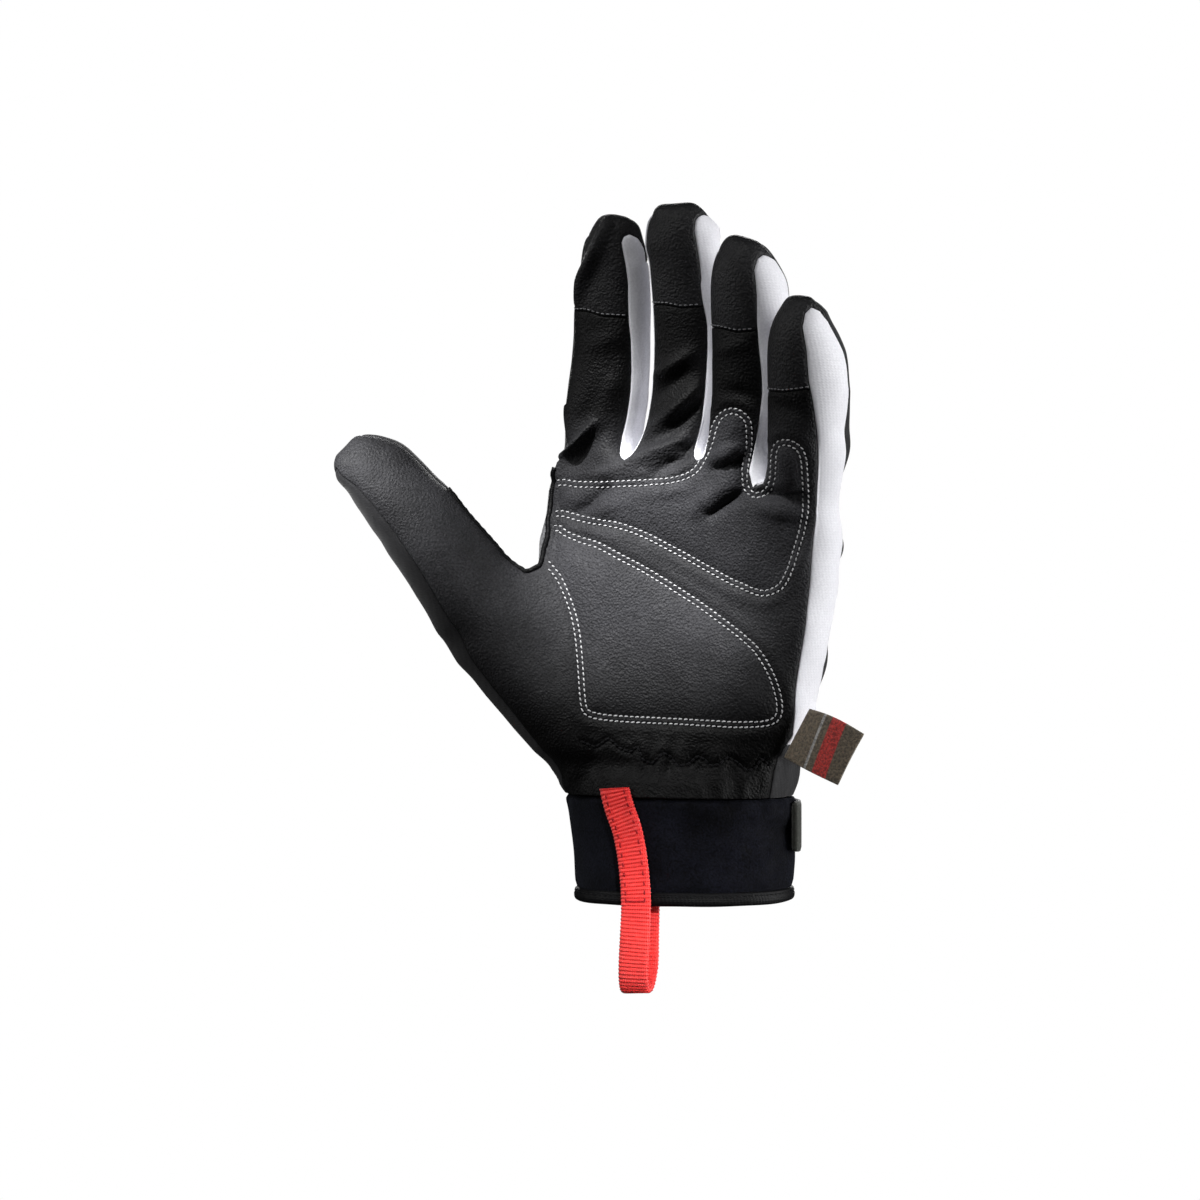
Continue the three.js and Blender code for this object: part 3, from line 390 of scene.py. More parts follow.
def across(knots):
    xs = [k[0] for k in knots]
    ps = [A3(k[1]) for k in knots]
    n = len(xs)
    slope = lambda i, j: (ps[j] - ps[i]) / (xs[j] - xs[i])

    def tangent(k):
        if k == 0:
            return 1.5 * slope(0, 1) - 0.5 * slope(0, 2)
        if k == n - 1:
            return 1.5 * slope(n - 2, n - 1) - 0.5 * slope(n - 3, n - 1)
        return slope(k - 1, k + 1)
    out = []
    for c in range(xs[-1] + 1):
        i = 0
        while i < n - 2 and xs[i + 1] <= c:
            i += 1
        h = xs[i + 1] - xs[i]
        f = (c - xs[i]) / h
        f2, f3 = f * f, f ** 3
        out.append((2 * f3 - 3 * f2 + 1) * ps[i] + (f3 - 2 * f2 + f) * tangent(i) * h
                   + (-2 * f3 + 3 * f2) * ps[i + 1] + (f3 - f2) * tangent(i + 1) * h)
    return out


def hand_net():
    V, Q = [], []

    def put(p):
        V.append(A3(p))
        return len(V) - 1

    def quad(a, b, c, d, zone, digit, row):
        Q.append(((a, b, c, d), zone, digit, row))
    fingers = ["index", "middle", "ring", "little"]
    root = lambda k: section(through(DIGITS[k], 0), axis_at(DIGITS[k], 0), SEAM_ANGLES[k])
    ir, lr = root("index"), root("little")
    names = list(LINES)
    front = [[r and [r[0], r[2], r[1]] for r in LINES[n]] for n in names]
    back = [[r and [r[3], r[4], r[1]] for r in LINES[n]] for n in names]
    front[0][5], back[0][5] = ir[0], ir[2 * M + S]
    front[4][5], back[4][5] = lr[M], lr[M + S]
    wrist = lambda d: A3([WRIST_X + WRIST_A * math.sin(math.radians(d)),
                          -WRIST_B * math.cos(math.radians(d)), WRIST_Z])
    tl = [[wrist(w)] + [section_point(r, THUMB_BASE_AXIS, d) for r in THUMB_BASE]
          for d, w in zip((-56, -14, 194, -115, -95, -76), (-64, -50, 230, 244, 260, 280))]

    def edge(p):
        i = next((k for k, r in enumerate(HEEL_EDGE) if r[0] > p[2]), -1)
        if i < 1:
            return p
        (z0, d0), (z1, d1) = HEEL_EDGE[i - 1], HEEL_EDGE[i]
        w = max(0.0, min(1.0, (-14 - p[0]) / 24))
        return p + A3([w * w * (3 - 2 * w) * (d0 + (d1 - d0) * (p[2] - z0) / (z1 - z0)), 0, 0])

    def station(j):
        for i in range(5):
            if j <= STATION_ROW[i + 1]:
                return i + (j - STATION_ROW[i]) / (STATION_ROW[i + 1] - STATION_ROW[i])
        return 5
    rows = []
    for j in range(ROWS_PALM + 1):
        t = station(j)
        f = [through(l, t) for l in front]
        b = [through(l, t) for l in back]
        bulge = through([[v] for v in EDGE_BULGE], t)[0]
        if j <= ROWS_WEB:
            q = [through(l, t) for l in tl]
            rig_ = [(0, q[0]), (2, q[1])] + [(M + M * k, p) for k, p in enumerate(f)]
            bk = [(0, q[3]), (2, q[2])] + [(M + M * k, p) for k, p in enumerate(b)]
        else:
            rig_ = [(M * k, p) for k, p in enumerate(f)]
            bk = [(M * k, p) for k, p in enumerate(b)]
        F, B = across(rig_), across(bk)
        right = arc(F[-1], B[-1], [bulge * 1.2, 2, 0], [bulge * 1.2, -2, 0], S)
        left = ([through(tl[4], t), through(tl[5], t)] if j <= ROWS_WEB
                else arc(B[0], F[0], [-6.5, 0, 0], [-6.5, 0, 0], S))
        rows.append([[put(edge(p)) for p in g] for g in (F, right, B, left)])

    def band(A, B, fronts, j, left_zone):
        for c in range(len(A[0]) - 1):
            k = fronts[c // M]
            quad(A[0][c], A[0][c + 1], B[0][c + 1], B[0][c], "palm", k, j)
            quad(A[2][c + 1], A[2][c], B[2][c], B[2][c + 1], "back", k, j)
        ra, rb = [A[0][-1]] + A[1] + [A[2][-1]], [B[0][-1]] + B[1] + [B[2][-1]]
        la, lb = [A[2][0]] + A[3] + [A[0][0]], [B[2][0]] + B[3] + [B[0][0]]
        for c in range(S):
            quad(ra[c], ra[c + 1], rb[c + 1], rb[c], "outer", "palm", j)
            quad(la[c], la[c + 1], lb[c + 1], lb[c], left_zone, "palm", j)
    for j in range(ROWS_WEB):
        band(rows[j], rows[j + 1], ["thumb"] + fingers, j, "back")
    A = rows[ROWS_WEB]
    web = [put(p) for p in arc(V[A[0][M]], V[A[2][M]], [2, 0, -5], [2, 0, -5], S)]
    prev = [A[0][M:], A[1], A[2][M:], web[::-1]]
    for j in range(ROWS_WEB, ROWS_PALM):
        band(prev, rows[j + 1], fingers, j, "gusset")
        prev = rows[j + 1]
    R = rows[ROWS_PALM]
    webs = {k: [put(p) for p in arc(V[R[0][M * k]], V[R[2][M * k]], [0, 0, -6 if k < 3 else -5],
                                    [0, 0, -6 if k < 3 else -5], S)] for k in (1, 2, 3)}
    for k in ["thumb"] + fingers:
        if k == "thumb":
            ring = A[0][:M + 1] + web + A[2][:M + 1][::-1] + A[3]
        else:
            i = fingers.index(k)
            ring = (R[0][M * i:M * i + M + 1] + (webs[i + 1] if i < 3 else R[1])
                    + R[2][M * i:M * i + M + 1][::-1] + (webs[i][::-1] if i > 0 else R[3]))
        table, n, count = DIGITS[k], len(DIGITS[k]), RINGS[k]
        at = np.linspace(FIRST[k], n - 1, 200)
        mid = np.array([through(table, t) for t in at])
        step = np.linalg.norm(np.diff(mid[:, :3], axis=0), axis=1) + 0.35 * np.abs(np.diff(mid[:, 3]))
        dist = np.concatenate([[0], np.cumsum(step)])
        for r in range(count):
            t = float(np.interp(dist[-1] * r / (count - 1), dist, at))
            axis = axis_at(table, t)
            cur = [put(p) for p in section(through(table, t), axis, SEAM_ANGLES[k])]
            for c in range(len(cur)):
                d = (c + 1) % len(cur)
                zone = "palm" if c < M else "right" if c < M + S else "back" if c < 2 * M + S else "left"
                quad(ring[c], ring[d], cur[d], cur[c], zone, k, 100 + r)
            ring = cur
        up = axis / np.linalg.norm(axis)
        P = lambda i: V[ring[i % len(ring)]]
        g, al = {}, len(ring)
        for i in range(M + 1):
            for j in range(S + 1):
                u, v = i / M, j / S
                if j == 0:
                    g[i, j] = ring[i]
                elif j == S:
                    g[i, j] = ring[2 * M + S - i]
                elif i == M:
                    g[i, j] = ring[M + j]
                elif i == 0:
                    g[i, j] = ring[(al - j) % al]
                else:
                    p = ((1 - v) * P(i) + v * P(2 * M + S - i) + (1 - u) * P(al - j) + u * P(M + j)
                         - ((1 - u) * (1 - v) * P(0) + u * (1 - v) * P(M)
                            + (1 - u) * v * P(2 * M + S) + u * v * P(M + S)))
                    g[i, j] = put(p + up * 1.6 * (1 - (2 * u - 1) ** 2) * (1 - (2 * v - 1) ** 2))
        for i in range(M):
            for j in range(S):
                quad(g[i, j], g[i + 1, j], g[i + 1, j + 1], g[i, j + 1], "tip", k, j)
    return np.array(V), Q


PANELS = ["palm_panel", "back_panel", "fourchette_index_middle", "fourchette_middle_ring",
          "fourchette_ring_little", "outer_side_panel", "thumb_gusset", "tip_cap_index",
          "tip_cap_middle", "tip_cap_ring", "tip_cap_little"]


def panel_of(zone, digit, row, cap_row):
    near = row >= 100 and row >= 100 + RINGS.get(digit, 0) - 1
    if zone == "tip":
        return ("palm_panel" if row < 2 else "back_panel") if digit == "thumb" else "tip_cap_" + digit
    if zone == "palm":
        return "tip_cap_" + digit if row >= 100 and row >= cap_row.get(digit, 999) else "palm_panel"
    if zone == "outer":
        return "back_panel" if row < 2 else "outer_side_panel"
    if zone == "gusset":
        return "thumb_gusset"
    if zone == "back":
        return "back_panel"
    if digit != "thumb" and near:
        return "tip_cap_" + digit
    if zone == "right":
        if digit == "thumb":
            return "thumb_gusset" if row < 105 else "back_panel"
        return {"index": "fourchette_index_middle", "middle": "fourchette_middle_ring",
                "ring": "fourchette_ring_little", "little": "outer_side_panel"}[digit]
    if digit == "thumb":
        return "back_panel"
    if digit == "index":
        return "thumb_gusset" if row < 101 else "back_panel"
    return {"middle": "fourchette_index_middle", "ring": "fourchette_middle_ring",
            "little": "fourchette_ring_little"}[digit]


# ---- materials --------------------------------------------------------------
def material(name, build):
    m = bpy.data.materials.new(name)
    m.use_nodes = True
    nt = m.node_tree
    nt.nodes.clear()
    out = nt.nodes.new("ShaderNodeOutputMaterial")
    sh = nt.nodes.new("ShaderNodeBsdfPrincipled")
    nt.links.new(sh.outputs[0], out.inputs[0])
    tc = nt.nodes.new("ShaderNodeTexCoord")
    build(nt, sh, tc.outputs["Object"])
    return m


def node(nt, kind, links=None, **props):
    n = nt.nodes.new(kind)
    for k, v in props.items():
        if k.startswith("in_"):
            key = k[3:]
            n.inputs[int(key) if key.isdigit() else key.replace("_", " ")].default_value = v
        else:
            setattr(n, k, v)
    for k, s in (links or {}).items():
        nt.links.new(s, n.inputs[k])
    return n


def noise(nt, vec, scale, detail=4.0, rough=0.55):
    n = node(nt, "ShaderNodeTexNoise", {"Vector": vec})
    n.inputs["Scale"].default_value = scale
    n.inputs["Detail"].default_value = detail
    n.inputs["Roughness"].default_value = rough
    return n.outputs["Fac"]


def ramp(nt, fac, stops):
    r = node(nt, "ShaderNodeValToRGB", {"Fac": fac})
    e = r.color_ramp.elements
    while len(e) < len(stops):
        e.new(0.5)
    for el, (p, c) in zip(e, stops):
        el.position = p
        el.color = (c[0], c[1], c[2], 1) if hasattr(c, "__len__") else (c, c, c, 1)
    return r.outputs["Color"]


def to_range(nt, fac, lo, hi, a=0.0, b=1.0):
    n = node(nt, "ShaderNodeMapRange", {"Value": fac})
    for k, v in (("From Min", a), ("From Max", b), ("To Min", lo), ("To Max", hi)):
        n.inputs[k].default_value = v
    return n.outputs["Result"]


def bump(nt, height, dist, strength=1.0, normal=None):
    n = node(nt, "ShaderNodeBump", {"Height": height})
    n.inputs["Distance"].default_value = dist
    n.inputs["Strength"].default_value = strength
    if normal is not None:
        nt.links.new(normal, n.inputs["Normal"])
    return n.outputs["Normal"]


def scaled(nt, vec, xyz):
    n = node(nt, "ShaderNodeMapping", {"Vector": vec})
    n.inputs["Scale"].default_value = xyz
    return n.outputs["Vector"]


# the last two arguments are the factors by which painted shade darkens the colour on the fingers and near the wrist
def leather(lo, hi, grain=1300.0, depth=0.00032, r0=0.50, r1=0.64, spec=0.13, soft=0.00025, finger_shade=0.05,
            heel=0.05):
    def build(nt, sh, co):
        big = noise(nt, co, 38, 3)
        fine = noise(nt, co, 1500, 2)
        mix = node(nt, "ShaderNodeMath", {0: big, 1: fine}, operation="MULTIPLY")
        # painted shade: the colour is darkened by height, down to a set factor on the fingers above z 0.138 to 0.158 m
        # (not on the thumb side, x below -0.052 m) and down to another factor near the wrist below z 0.092 m, standing
        # in for the shade on the fingers and the heel
        place = node(nt, "ShaderNodeSeparateXYZ", {0: co})
        up = to_range(nt, place.outputs["Z"], 1.0, finger_shade, 0.138, 0.158)
        side = to_range(nt, place.outputs["X"], 1.0, 0.0, -0.052, -0.044)
        low = to_range(nt, place.outputs["Z"], heel, 1.0, 0.056, 0.092)
        finger_shade_mask = node(nt, "ShaderNodeMath", {0: up, 1: side}, operation="MAXIMUM")
        keep = node(nt, "ShaderNodeMath", {0: finger_shade_mask.outputs[0], 1: low}, operation="MULTIPLY")
        tone = node(nt, "ShaderNodeMixRGB", {1: ramp(nt, mix.outputs[0], [(0.14, lo), (0.40, hi)]), 2: keep.outputs[0]},
                    blend_type="MULTIPLY")
        tone.inputs[0].default_value = 1.0
        nt.links.new(tone.outputs[0], sh.inputs["Base Color"])
        sh.inputs["Specular IOR Level"].default_value = spec
        vor = node(nt, "ShaderNodeTexVoronoi", {"Vector": co}, feature="SMOOTH_F1")
        vor.inputs["Scale"].default_value = grain
        vor.inputs["Smoothness"].default_value = 0.5
        n1 = bump(nt, vor.outputs["Distance"], depth, 0.9)
        n2 = bump(nt, noise(nt, co, grain * 1.3, 2, 0.5), depth * 0.8, 0.8, n1)
        n3 = bump(nt, noise(nt, co, 120, 2), soft, 0.4, n2)
        nt.links.new(n3, sh.inputs["Normal"])
        nt.links.new(to_range(nt, noise(nt, co, 140, 3), r0, r1, 0.35, 0.65), sh.inputs["Roughness"])
    return build


def velvet(lo, hi, sheen=0.4, tint=(1, 1, 1)):
    def build(nt, sh, co):
        fine = noise(nt, co, 1500, 2)
        var = node(nt, "ShaderNodeMath", {0: noise(nt, co, 60, 3), 1: fine}, operation="MULTIPLY")
        nt.links.new(ramp(nt, var.outputs[0], [(0.16, lo), (0.44, hi)]), sh.inputs["Base Color"])
        n1 = bump(nt, fine, 0.00030, 0.9)
        nt.links.new(bump(nt, noise(nt, co, 70, 2), 0.0006, 0.3, n1), sh.inputs["Normal"])
        nt.links.new(to_range(nt, noise(nt, co, 260, 2), 0.75, 0.92, 0.3, 0.7), sh.inputs["Roughness"])
        sh.inputs["Specular IOR Level"].default_value = 0.07
        sh.inputs["Sheen Weight"].default_value = sheen
        sh.inputs["Sheen Roughness"].default_value = 0.45
        sh.inputs["Sheen Tint"].default_value = (*tint, 1)
    return build


def knit(lo, hi, pitch=0.00085, depth=0.0001, rough=0.8, sheen=0.2, spec=0.3, soft=60, tint=(1, 1, 1)):
    def build(nt, sh, co):
        k = 1.0 / pitch
        w1 = node(nt, "ShaderNodeTexWave", {"Vector": scaled(nt, co, (0.62 * k, 0.62 * k, k * 1.0))},
                  wave_type="BANDS", bands_direction="Z")
        w1.inputs["Scale"].default_value = 0.32
        w2 = node(nt, "ShaderNodeTexWave", {"Vector": scaled(nt, co, (k, k * 0.8, 0.35 * k))},
                  wave_type="BANDS", bands_direction="DIAGONAL")
        w2.inputs["Scale"].default_value = 0.32
        for w in (w1, w2):
            w.inputs["Distortion"].default_value = 0.6
            w.inputs["Detail"].default_value = 1
        mul = node(nt, "ShaderNodeMath", {0: w1.outputs["Fac"], 1: w2.outputs["Fac"]}, operation="MULTIPLY")
        n1 = bump(nt, mul.outputs[0], depth, 0.8)
        n2 = bump(nt, noise(nt, co, soft, 3), 0.0012, 0.30, n1)
        nt.links.new(n2, sh.inputs["Normal"])
        var = node(nt, "ShaderNodeMath", {0: noise(nt, co, 45, 4), 1: noise(nt, co, 1500, 2)}, operation="MULTIPLY")
        nt.links.new(ramp(nt, var.outputs[0], [(0.12, lo), (0.42, hi)]), sh.inputs["Base Color"])
        nt.links.new(to_range(nt, noise(nt, co, 220, 3), rough - 0.08, rough + 0.08, 0.3, 0.7), sh.inputs["Roughness"])
        sh.inputs["Specular IOR Level"].default_value = spec
        sh.inputs["Sheen Weight"].default_value = sheen
        sh.inputs["Sheen Roughness"].default_value = 0.5
        sh.inputs["Sheen Tint"].default_value = (*tint, 1)
    return build


def mesh_cloth(nt, sh, co):
    vor = node(nt, "ShaderNodeTexVoronoi", {"Vector": co}, feature="F1")
    vor.inputs["Scale"].default_value = 620
    vor.inputs["Randomness"].default_value = 0.35
    nt.links.new(ramp(nt, vor.outputs["Distance"], [(0.18, (0.012, 0.012, 0.013)), (0.5, (0.10, 0.10, 0.105))]),
                 sh.inputs["Base Color"])
    nt.links.new(bump(nt, vor.outputs["Distance"], 0.0004, 1.0), sh.inputs["Normal"])
    nt.links.new(to_range(nt, noise(nt, co, 300), 0.65, 0.85), sh.inputs["Roughness"])
    sh.inputs["Sheen Weight"].default_value = 0.25


def webbing(nt, sh, co):
    fine = noise(nt, co, 1300, 3)
    big = noise(nt, co, 90, 3)
    mul = node(nt, "ShaderNodeMath", {0: fine, 1: big}, operation="MULTIPLY")
    nt.links.new(ramp(nt, mul.outputs[0], [(0.1, (0.62, 0.014, 0.014)), (0.42, (0.92, 0.035, 0.028))]),
                 sh.inputs["Base Color"])
    w = node(nt, "ShaderNodeTexWave", {"Vector": scaled(nt, co, (1700, 1700, 500))}, bands_direction="X")
    w.inputs["Scale"].default_value = 0.32
    w.inputs["Distortion"].default_value = 0.8
    nt.links.new(bump(nt, w.outputs["Fac"], 0.00012, 0.8, bump(nt, fine, 0.0001, 0.6)), sh.inputs["Normal"])
    nt.links.new(to_range(nt, big, 0.42, 0.62, 0.3, 0.7), sh.inputs["Roughness"])
    sh.inputs["Specular IOR Level"].default_value = 0.45
    sh.inputs["Sheen Weight"].default_value = 0.15


def label_cloth(nt, sh, co):
    # along: from the sewn edge to the free end; a plain red band and a pale line
    p, q, r, s = [A3(v) * MM for v in LABEL]
    d = (s - p) / np.linalg.norm(s - p)
    dot = node(nt, "ShaderNodeVectorMath", {0: co}, operation="DOT_PRODUCT")
    dot.inputs[1].default_value = tuple(d)
    along = to_range(nt, dot.outputs["Value"], 0, 1, float(p.dot(d)), float(s.dot(d)))
    e = (q - p) / np.linalg.norm(q - p)
    dot2 = node(nt, "ShaderNodeVectorMath", {0: co}, operation="DOT_PRODUCT")
    dot2.inputs[1].default_value = tuple(e)
    w1 = node(nt, "ShaderNodeTexWave", {"Vector": scaled(nt, co, (1500, 1500, 2600))}, bands_direction="Z")
    w1.inputs["Scale"].default_value = 0.32
    w1.inputs["Distortion"].default_value = 0.7
    band = ramp(nt, along, [(0.0, (0.215, 0.168, 0.112)), (0.30, (0.215, 0.168, 0.112)), (0.31, (0.55, 0.54, 0.52)),
                            (0.345, (0.55, 0.54, 0.52)), (0.355, (0.215, 0.168, 0.112)), (0.46, (0.215, 0.168, 0.112)),
                            (0.47, (0.85, 0.058, 0.045)), (0.70, (0.85, 0.058, 0.045)), (0.71, (0.215, 0.168, 0.112))])
    dark = node(nt, "ShaderNodeMixRGB", {1: band}, blend_type="MULTIPLY")
    nt.links.new(ramp(nt, w1.outputs["Fac"], [(0.1, 0.62), (0.7, 1.05)]), dark.inputs[2])
    dark.inputs[0].default_value = 1.0
    spot = node(nt, "ShaderNodeMixRGB", {1: dark.outputs[0], 2: ramp(nt, noise(nt, co, 1400, 2), [(0.36, 0.5), (0.62, 1.25)])},
                blend_type="MULTIPLY")
    spot.inputs[0].default_value = 1.0
    nt.links.new(spot.outputs[0], sh.inputs["Base Color"])
    nt.links.new(bump(nt, w1.outputs["Fac"], 0.00020, 1.0, bump(nt, noise(nt, co, 1400, 2), 0.0002, 0.8)),
                 sh.inputs["Normal"])
    nt.links.new(to_range(nt, noise(nt, co, 600), 0.6, 0.8), sh.inputs["Roughness"])
    sh.inputs["Sheen Weight"].default_value = 0.25


def thread(lo, hi, rough=0.5, sheen=0.2, spec=0.5):
    def build(nt, sh, co):
        w = node(nt, "ShaderNodeTexWave", {"Vector": scaled(nt, co, (2400, 2400, 2400))}, bands_direction="DIAGONAL")
        w.inputs["Scale"].default_value = 0.32
        nt.links.new(ramp(nt, noise(nt, co, 700, 2), [(0.3, lo), (0.7, hi)]), sh.inputs["Base Color"])
        nt.links.new(bump(nt, w.outputs["Fac"], 0.00008, 0.7), sh.inputs["Normal"])
        nt.links.new(to_range(nt, noise(nt, co, 400, 2), rough - 0.1, rough + 0.1), sh.inputs["Roughness"])
        sh.inputs["Sheen Weight"].default_value = sheen
        sh.inputs["Specular IOR Level"].default_value = spec
    return build


# the three leathers carry painted shade: each is darker on the fingers and towards the wrist, by its own factors
MAT = {
    "leather": material("leather", leather((0.015, 0.015, 0.0162), (0.041, 0.041, 0.0445))),
    "cap": material("cap_leather", leather((0.010, 0.010, 0.011), (0.026, 0.026, 0.029), r0=0.50, r1=0.62,
                                           soft=0.00015, finger_shade=0.50, spec=0.24)),
    "pad": material("pad_leather", leather((0.016, 0.016, 0.0176), (0.044, 0.044, 0.0485), finger_shade=0.8, heel=0.12)),
    "white": material("white_stretch", knit((0.60, 0.60, 0.635), (0.74, 0.74, 0.775), depth=0.00004, sheen=0.1, rough=0.7)),
    "back": material("back_fabric", knit((0.004, 0.004, 0.005), (0.011, 0.011, 0.0125), depth=0.00008, sheen=0.10)),
    "mesh": material("gusset_mesh", mesh_cloth),
    "neoprene": material("neoprene", velvet((0.0002, 0.0002, 0.0006), (0.0055, 0.0060, 0.0105), sheen=0.03,
                                            tint=(0.72, 0.8, 1.0))),
    "binding": material("binding", knit((0.0008, 0.0008, 0.001), (0.003, 0.003, 0.0036), pitch=0.0007, sheen=0.0,
                                        rough=0.55, spec=0.12)),
    "webbing": material("webbing", webbing),
    "label": material("label_cloth", label_cloth),
    "strap": material("strap_cloth", knit((0.012, 0.013, 0.010), (0.032, 0.034, 0.027), pitch=0.0008, depth=0.00012, sheen=0.2)),
    "thread": material("thread_pale", thread((0.36, 0.36, 0.37), (0.56, 0.56, 0.57))),
    "thread_grey": material("thread_grey", thread((0.06, 0.06, 0.065), (0.14, 0.14, 0.15))),
    "thread_black": material("thread_black", thread((0.002, 0.002, 0.0024), (0.008, 0.008, 0.009),
                                             0.75, 0.0, 0.12)),
    "thread_red": material("thread_red", thread((0.22, 0.006, 0.010), (0.40, 0.012, 0.016), 0.7, 0.0, 0.2)),
}


# ---- mesh helpers -----------------------------------------------------------
def mesh_object(name, verts, faces, mat, link=True):
    me = bpy.data.meshes.new(name)
    me.from_pydata([tuple(v) for v in np.asarray(verts)], [],
                   [tuple(dict.fromkeys(int(i) for i in f)) for f in faces])
    me.update()
    me.polygons.foreach_set("use_smooth", [True] * len(me.polygons))
    ob = bpy.data.objects.new(name, me)
    if mat is not None:
        me.materials.append(mat)
    if link:
        SCENE.collection.objects.link(ob)
    return ob


def vertex_normals(P, F):
    n = np.cross(P[F[:, 2]] - P[F[:, 0]], P[F[:, 3]] - P[F[:, 1]])
    N = np.zeros_like(P)
    for k in range(4):
        np.add.at(N, F[:, k], n)
    return N / np.maximum(np.linalg.norm(N, axis=1, keepdims=True), 1e-12)


def capsule_strip(centres, tangents, normals, length, radius, sides=6, lift=0.0, rise=0.0):
    """Short rounded threads laid along a surface; each one rises in the middle."""
    V, F = [], []
    prof = [(-0.5, 0.25, 0.0), (-0.42, 0.8, 0.35), (-0.2, 1.0, 0.9), (0.0, 1.0, 1.0), (0.2, 1.0, 0.9),
            (0.42, 0.8, 0.35), (0.5, 0.25, 0.0)]
    for c, t, n in zip(centres, tangents, normals):
        t = t / np.linalg.norm(t)
        n = n - t * n.dot(t)
        n /= np.linalg.norm(n)
        b = np.cross(t, n)
        base = len(V)
        for s, w, h in prof:
            o = c + t * s * length + n * (lift + rise * h)
            for k in range(sides):
                q = 2 * math.pi * k / sides
                V.append(o + (b * math.cos(q) + n * math.sin(q)) * radius * w)
        for i in range(len(prof) - 1):
            for k in range(sides):
                a0, a1 = base + i * sides + k, base + i * sides + (k + 1) % sides
                F.append((a0, a1, a1 + sides, a0 + sides))
        F.append(tuple(base + k for k in range(sides))[::-1])
        F.append(tuple(base + (len(prof) - 1) * sides + k for k in range(sides)))
    return V, F


def tube(points, radius, sides=8, closed=False, squash=None):
    P = np.array(points)
    n = len(P)
    T = np.gradient(P, axis=0) if not closed else np.roll(P, -1, 0) - np.roll(P, 1, 0)
    T /= np.linalg.norm(T, axis=1, keepdims=True)
    ref = np.array([0.3, -1.0, 0.2])
    V, F = [], []
    for i in range(n):
        a = ref - T[i] * ref.dot(T[i])
        a /= np.linalg.norm(a)
        ref = a
        b = np.cross(T[i], a)
        r = radius[i] if hasattr(radius, "__len__") else radius
        for k in range(sides):
            q = 2 * math.pi * k / sides
            V.append(P[i] + (a * math.cos(q) + b * math.sin(q)) * r)
    m = n if closed else n - 1
    for i in range(m):
        for k in range(sides):
            j, k2 = (i + 1) % n, (k + 1) % sides
            F.append((i * sides + k, i * sides + k2, j * sides + k2, j * sides + k))
    if not closed:
        F.append(tuple(range(sides))[::-1])
        F.append(tuple((n - 1) * sides + k for k in range(sides)))
    return V, F


def resample(P, step, closed=False):
    P = np.array(P, float)
    if closed:
        P = np.vstack([P, P[:1]])
    d = np.concatenate([[0], np.cumsum(np.linalg.norm(np.diff(P, axis=0), axis=1))])
    n = max(int(round(d[-1] / step)), 2)
    t = np.linspace(0, d[-1], n + 1)
    out = np.stack([np.interp(t, d, P[:, k]) for k in range(P.shape[1])], 1)
    return out[:-1] if closed else out


def smooth_closed(points, each=8):
    n = len(points)
    ext = [points[-1]] + list(points) + [points[0], points[1]]
    return np.array([through(ext, i + 1 + s / each) for i in range(n) for s in range(each)])


def seg_dist(X, Z, x0, z0, x1, z1):
    dx, dz = x1 - x0, z1 - z0
    t = np.clip(((X - x0) * dx + (Z - z0) * dz) / (dx * dx + dz * dz), 0, 1)
    return np.hypot(X - x0 - t * dx, Z - z0 - t * dz), t


def poly_dist(X, Z, ring):
    best = np.full(X.shape, 1e9)
    n = len(ring)
    for i in range(n):
        a, b = ring[i], ring[(i + 1) % n]
        d, _ = seg_dist(X, Z, a[0], a[1], b[0], b[1])
        best = np.minimum(best, d)
    return best


def inside(X, Z, ring):
    c = np.zeros(X.shape, bool)
    n = len(ring)
    for i in range(n):
        (x0, z0), (x1, z1) = ring[i], ring[(i + 1) % n]
        hit = ((z0 > Z) != (z1 > Z)) & (X < (x1 - x0) * (Z - z0) / ((z1 - z0) or 1e-9) + x0)
        c ^= hit
    return c


def value_noise(P, size, seed):
    """Smooth noise in -1..1 on points P, with features about size mm across."""
    r = np.random.default_rng(seed)
    G = r.uniform(-1, 1, (32, 32, 32))
    q = P / size
    i = np.floor(q).astype(int)
    f = q - i
    f = f * f * (3 - 2 * f)
    out = 0
    for a in (0, 1):
        for b in (0, 1):
            for c in (0, 1):
                w = (f[:, 0] if a else 1 - f[:, 0]) * (f[:, 1] if b else 1 - f[:, 1]) * (f[:, 2] if c else 1 - f[:, 2])
                out = out + w * G[(i[:, 0] + a) % 32, (i[:, 1] + b) % 32, (i[:, 2] + c) % 32]
    return out


# ---- the sewn surface -------------------------------------------------------
RIGHT, UPV = np.array([CA, SA, 0.0]), np.array([0.0, 0.0, 1.0])
EYE = VIEW_X * RIGHT + VIEW_Z * UPV + VIEW_D * np.array([SA, -CA, 0.0])


def seen(p):
    """Places as the front view shows them: across and up, mm, and the scale there."""
    p = np.atleast_2d(p)
    f = 1 - (p[:, 0] * SA - p[:, 1] * CA) / VIEW_D
    return VIEW_X + (p @ RIGHT - VIEW_X) / f, VIEW_Z + (p[:, 2] - VIEW_Z) / f, f


net_v, net_q = hand_net()
cap_row = {}
for k, z in CAP_Z.items():
    best = 1e9
    for q, zone, digit, row in net_q:
        if zone == "palm" and digit == k and row >= 100:
            d = abs((net_v[q[0]][2] + net_v[q[1]][2]) / 2 - z)
            if d < best:
                best, cap_row[k] = d, row
# the net is eased outward a little, because smoothing draws it in
Nn = vertex_normals(net_v, np.array([q[0] for q in net_q]))
net_v = net_v + Nn * 0.22
net_me = bpy.data.meshes.new("net")
net_me.from_pydata([tuple(v) for v in net_v], [], [q[0] for q in net_q])
net_me.polygons.foreach_set("material_index", list(range(len(net_q))))
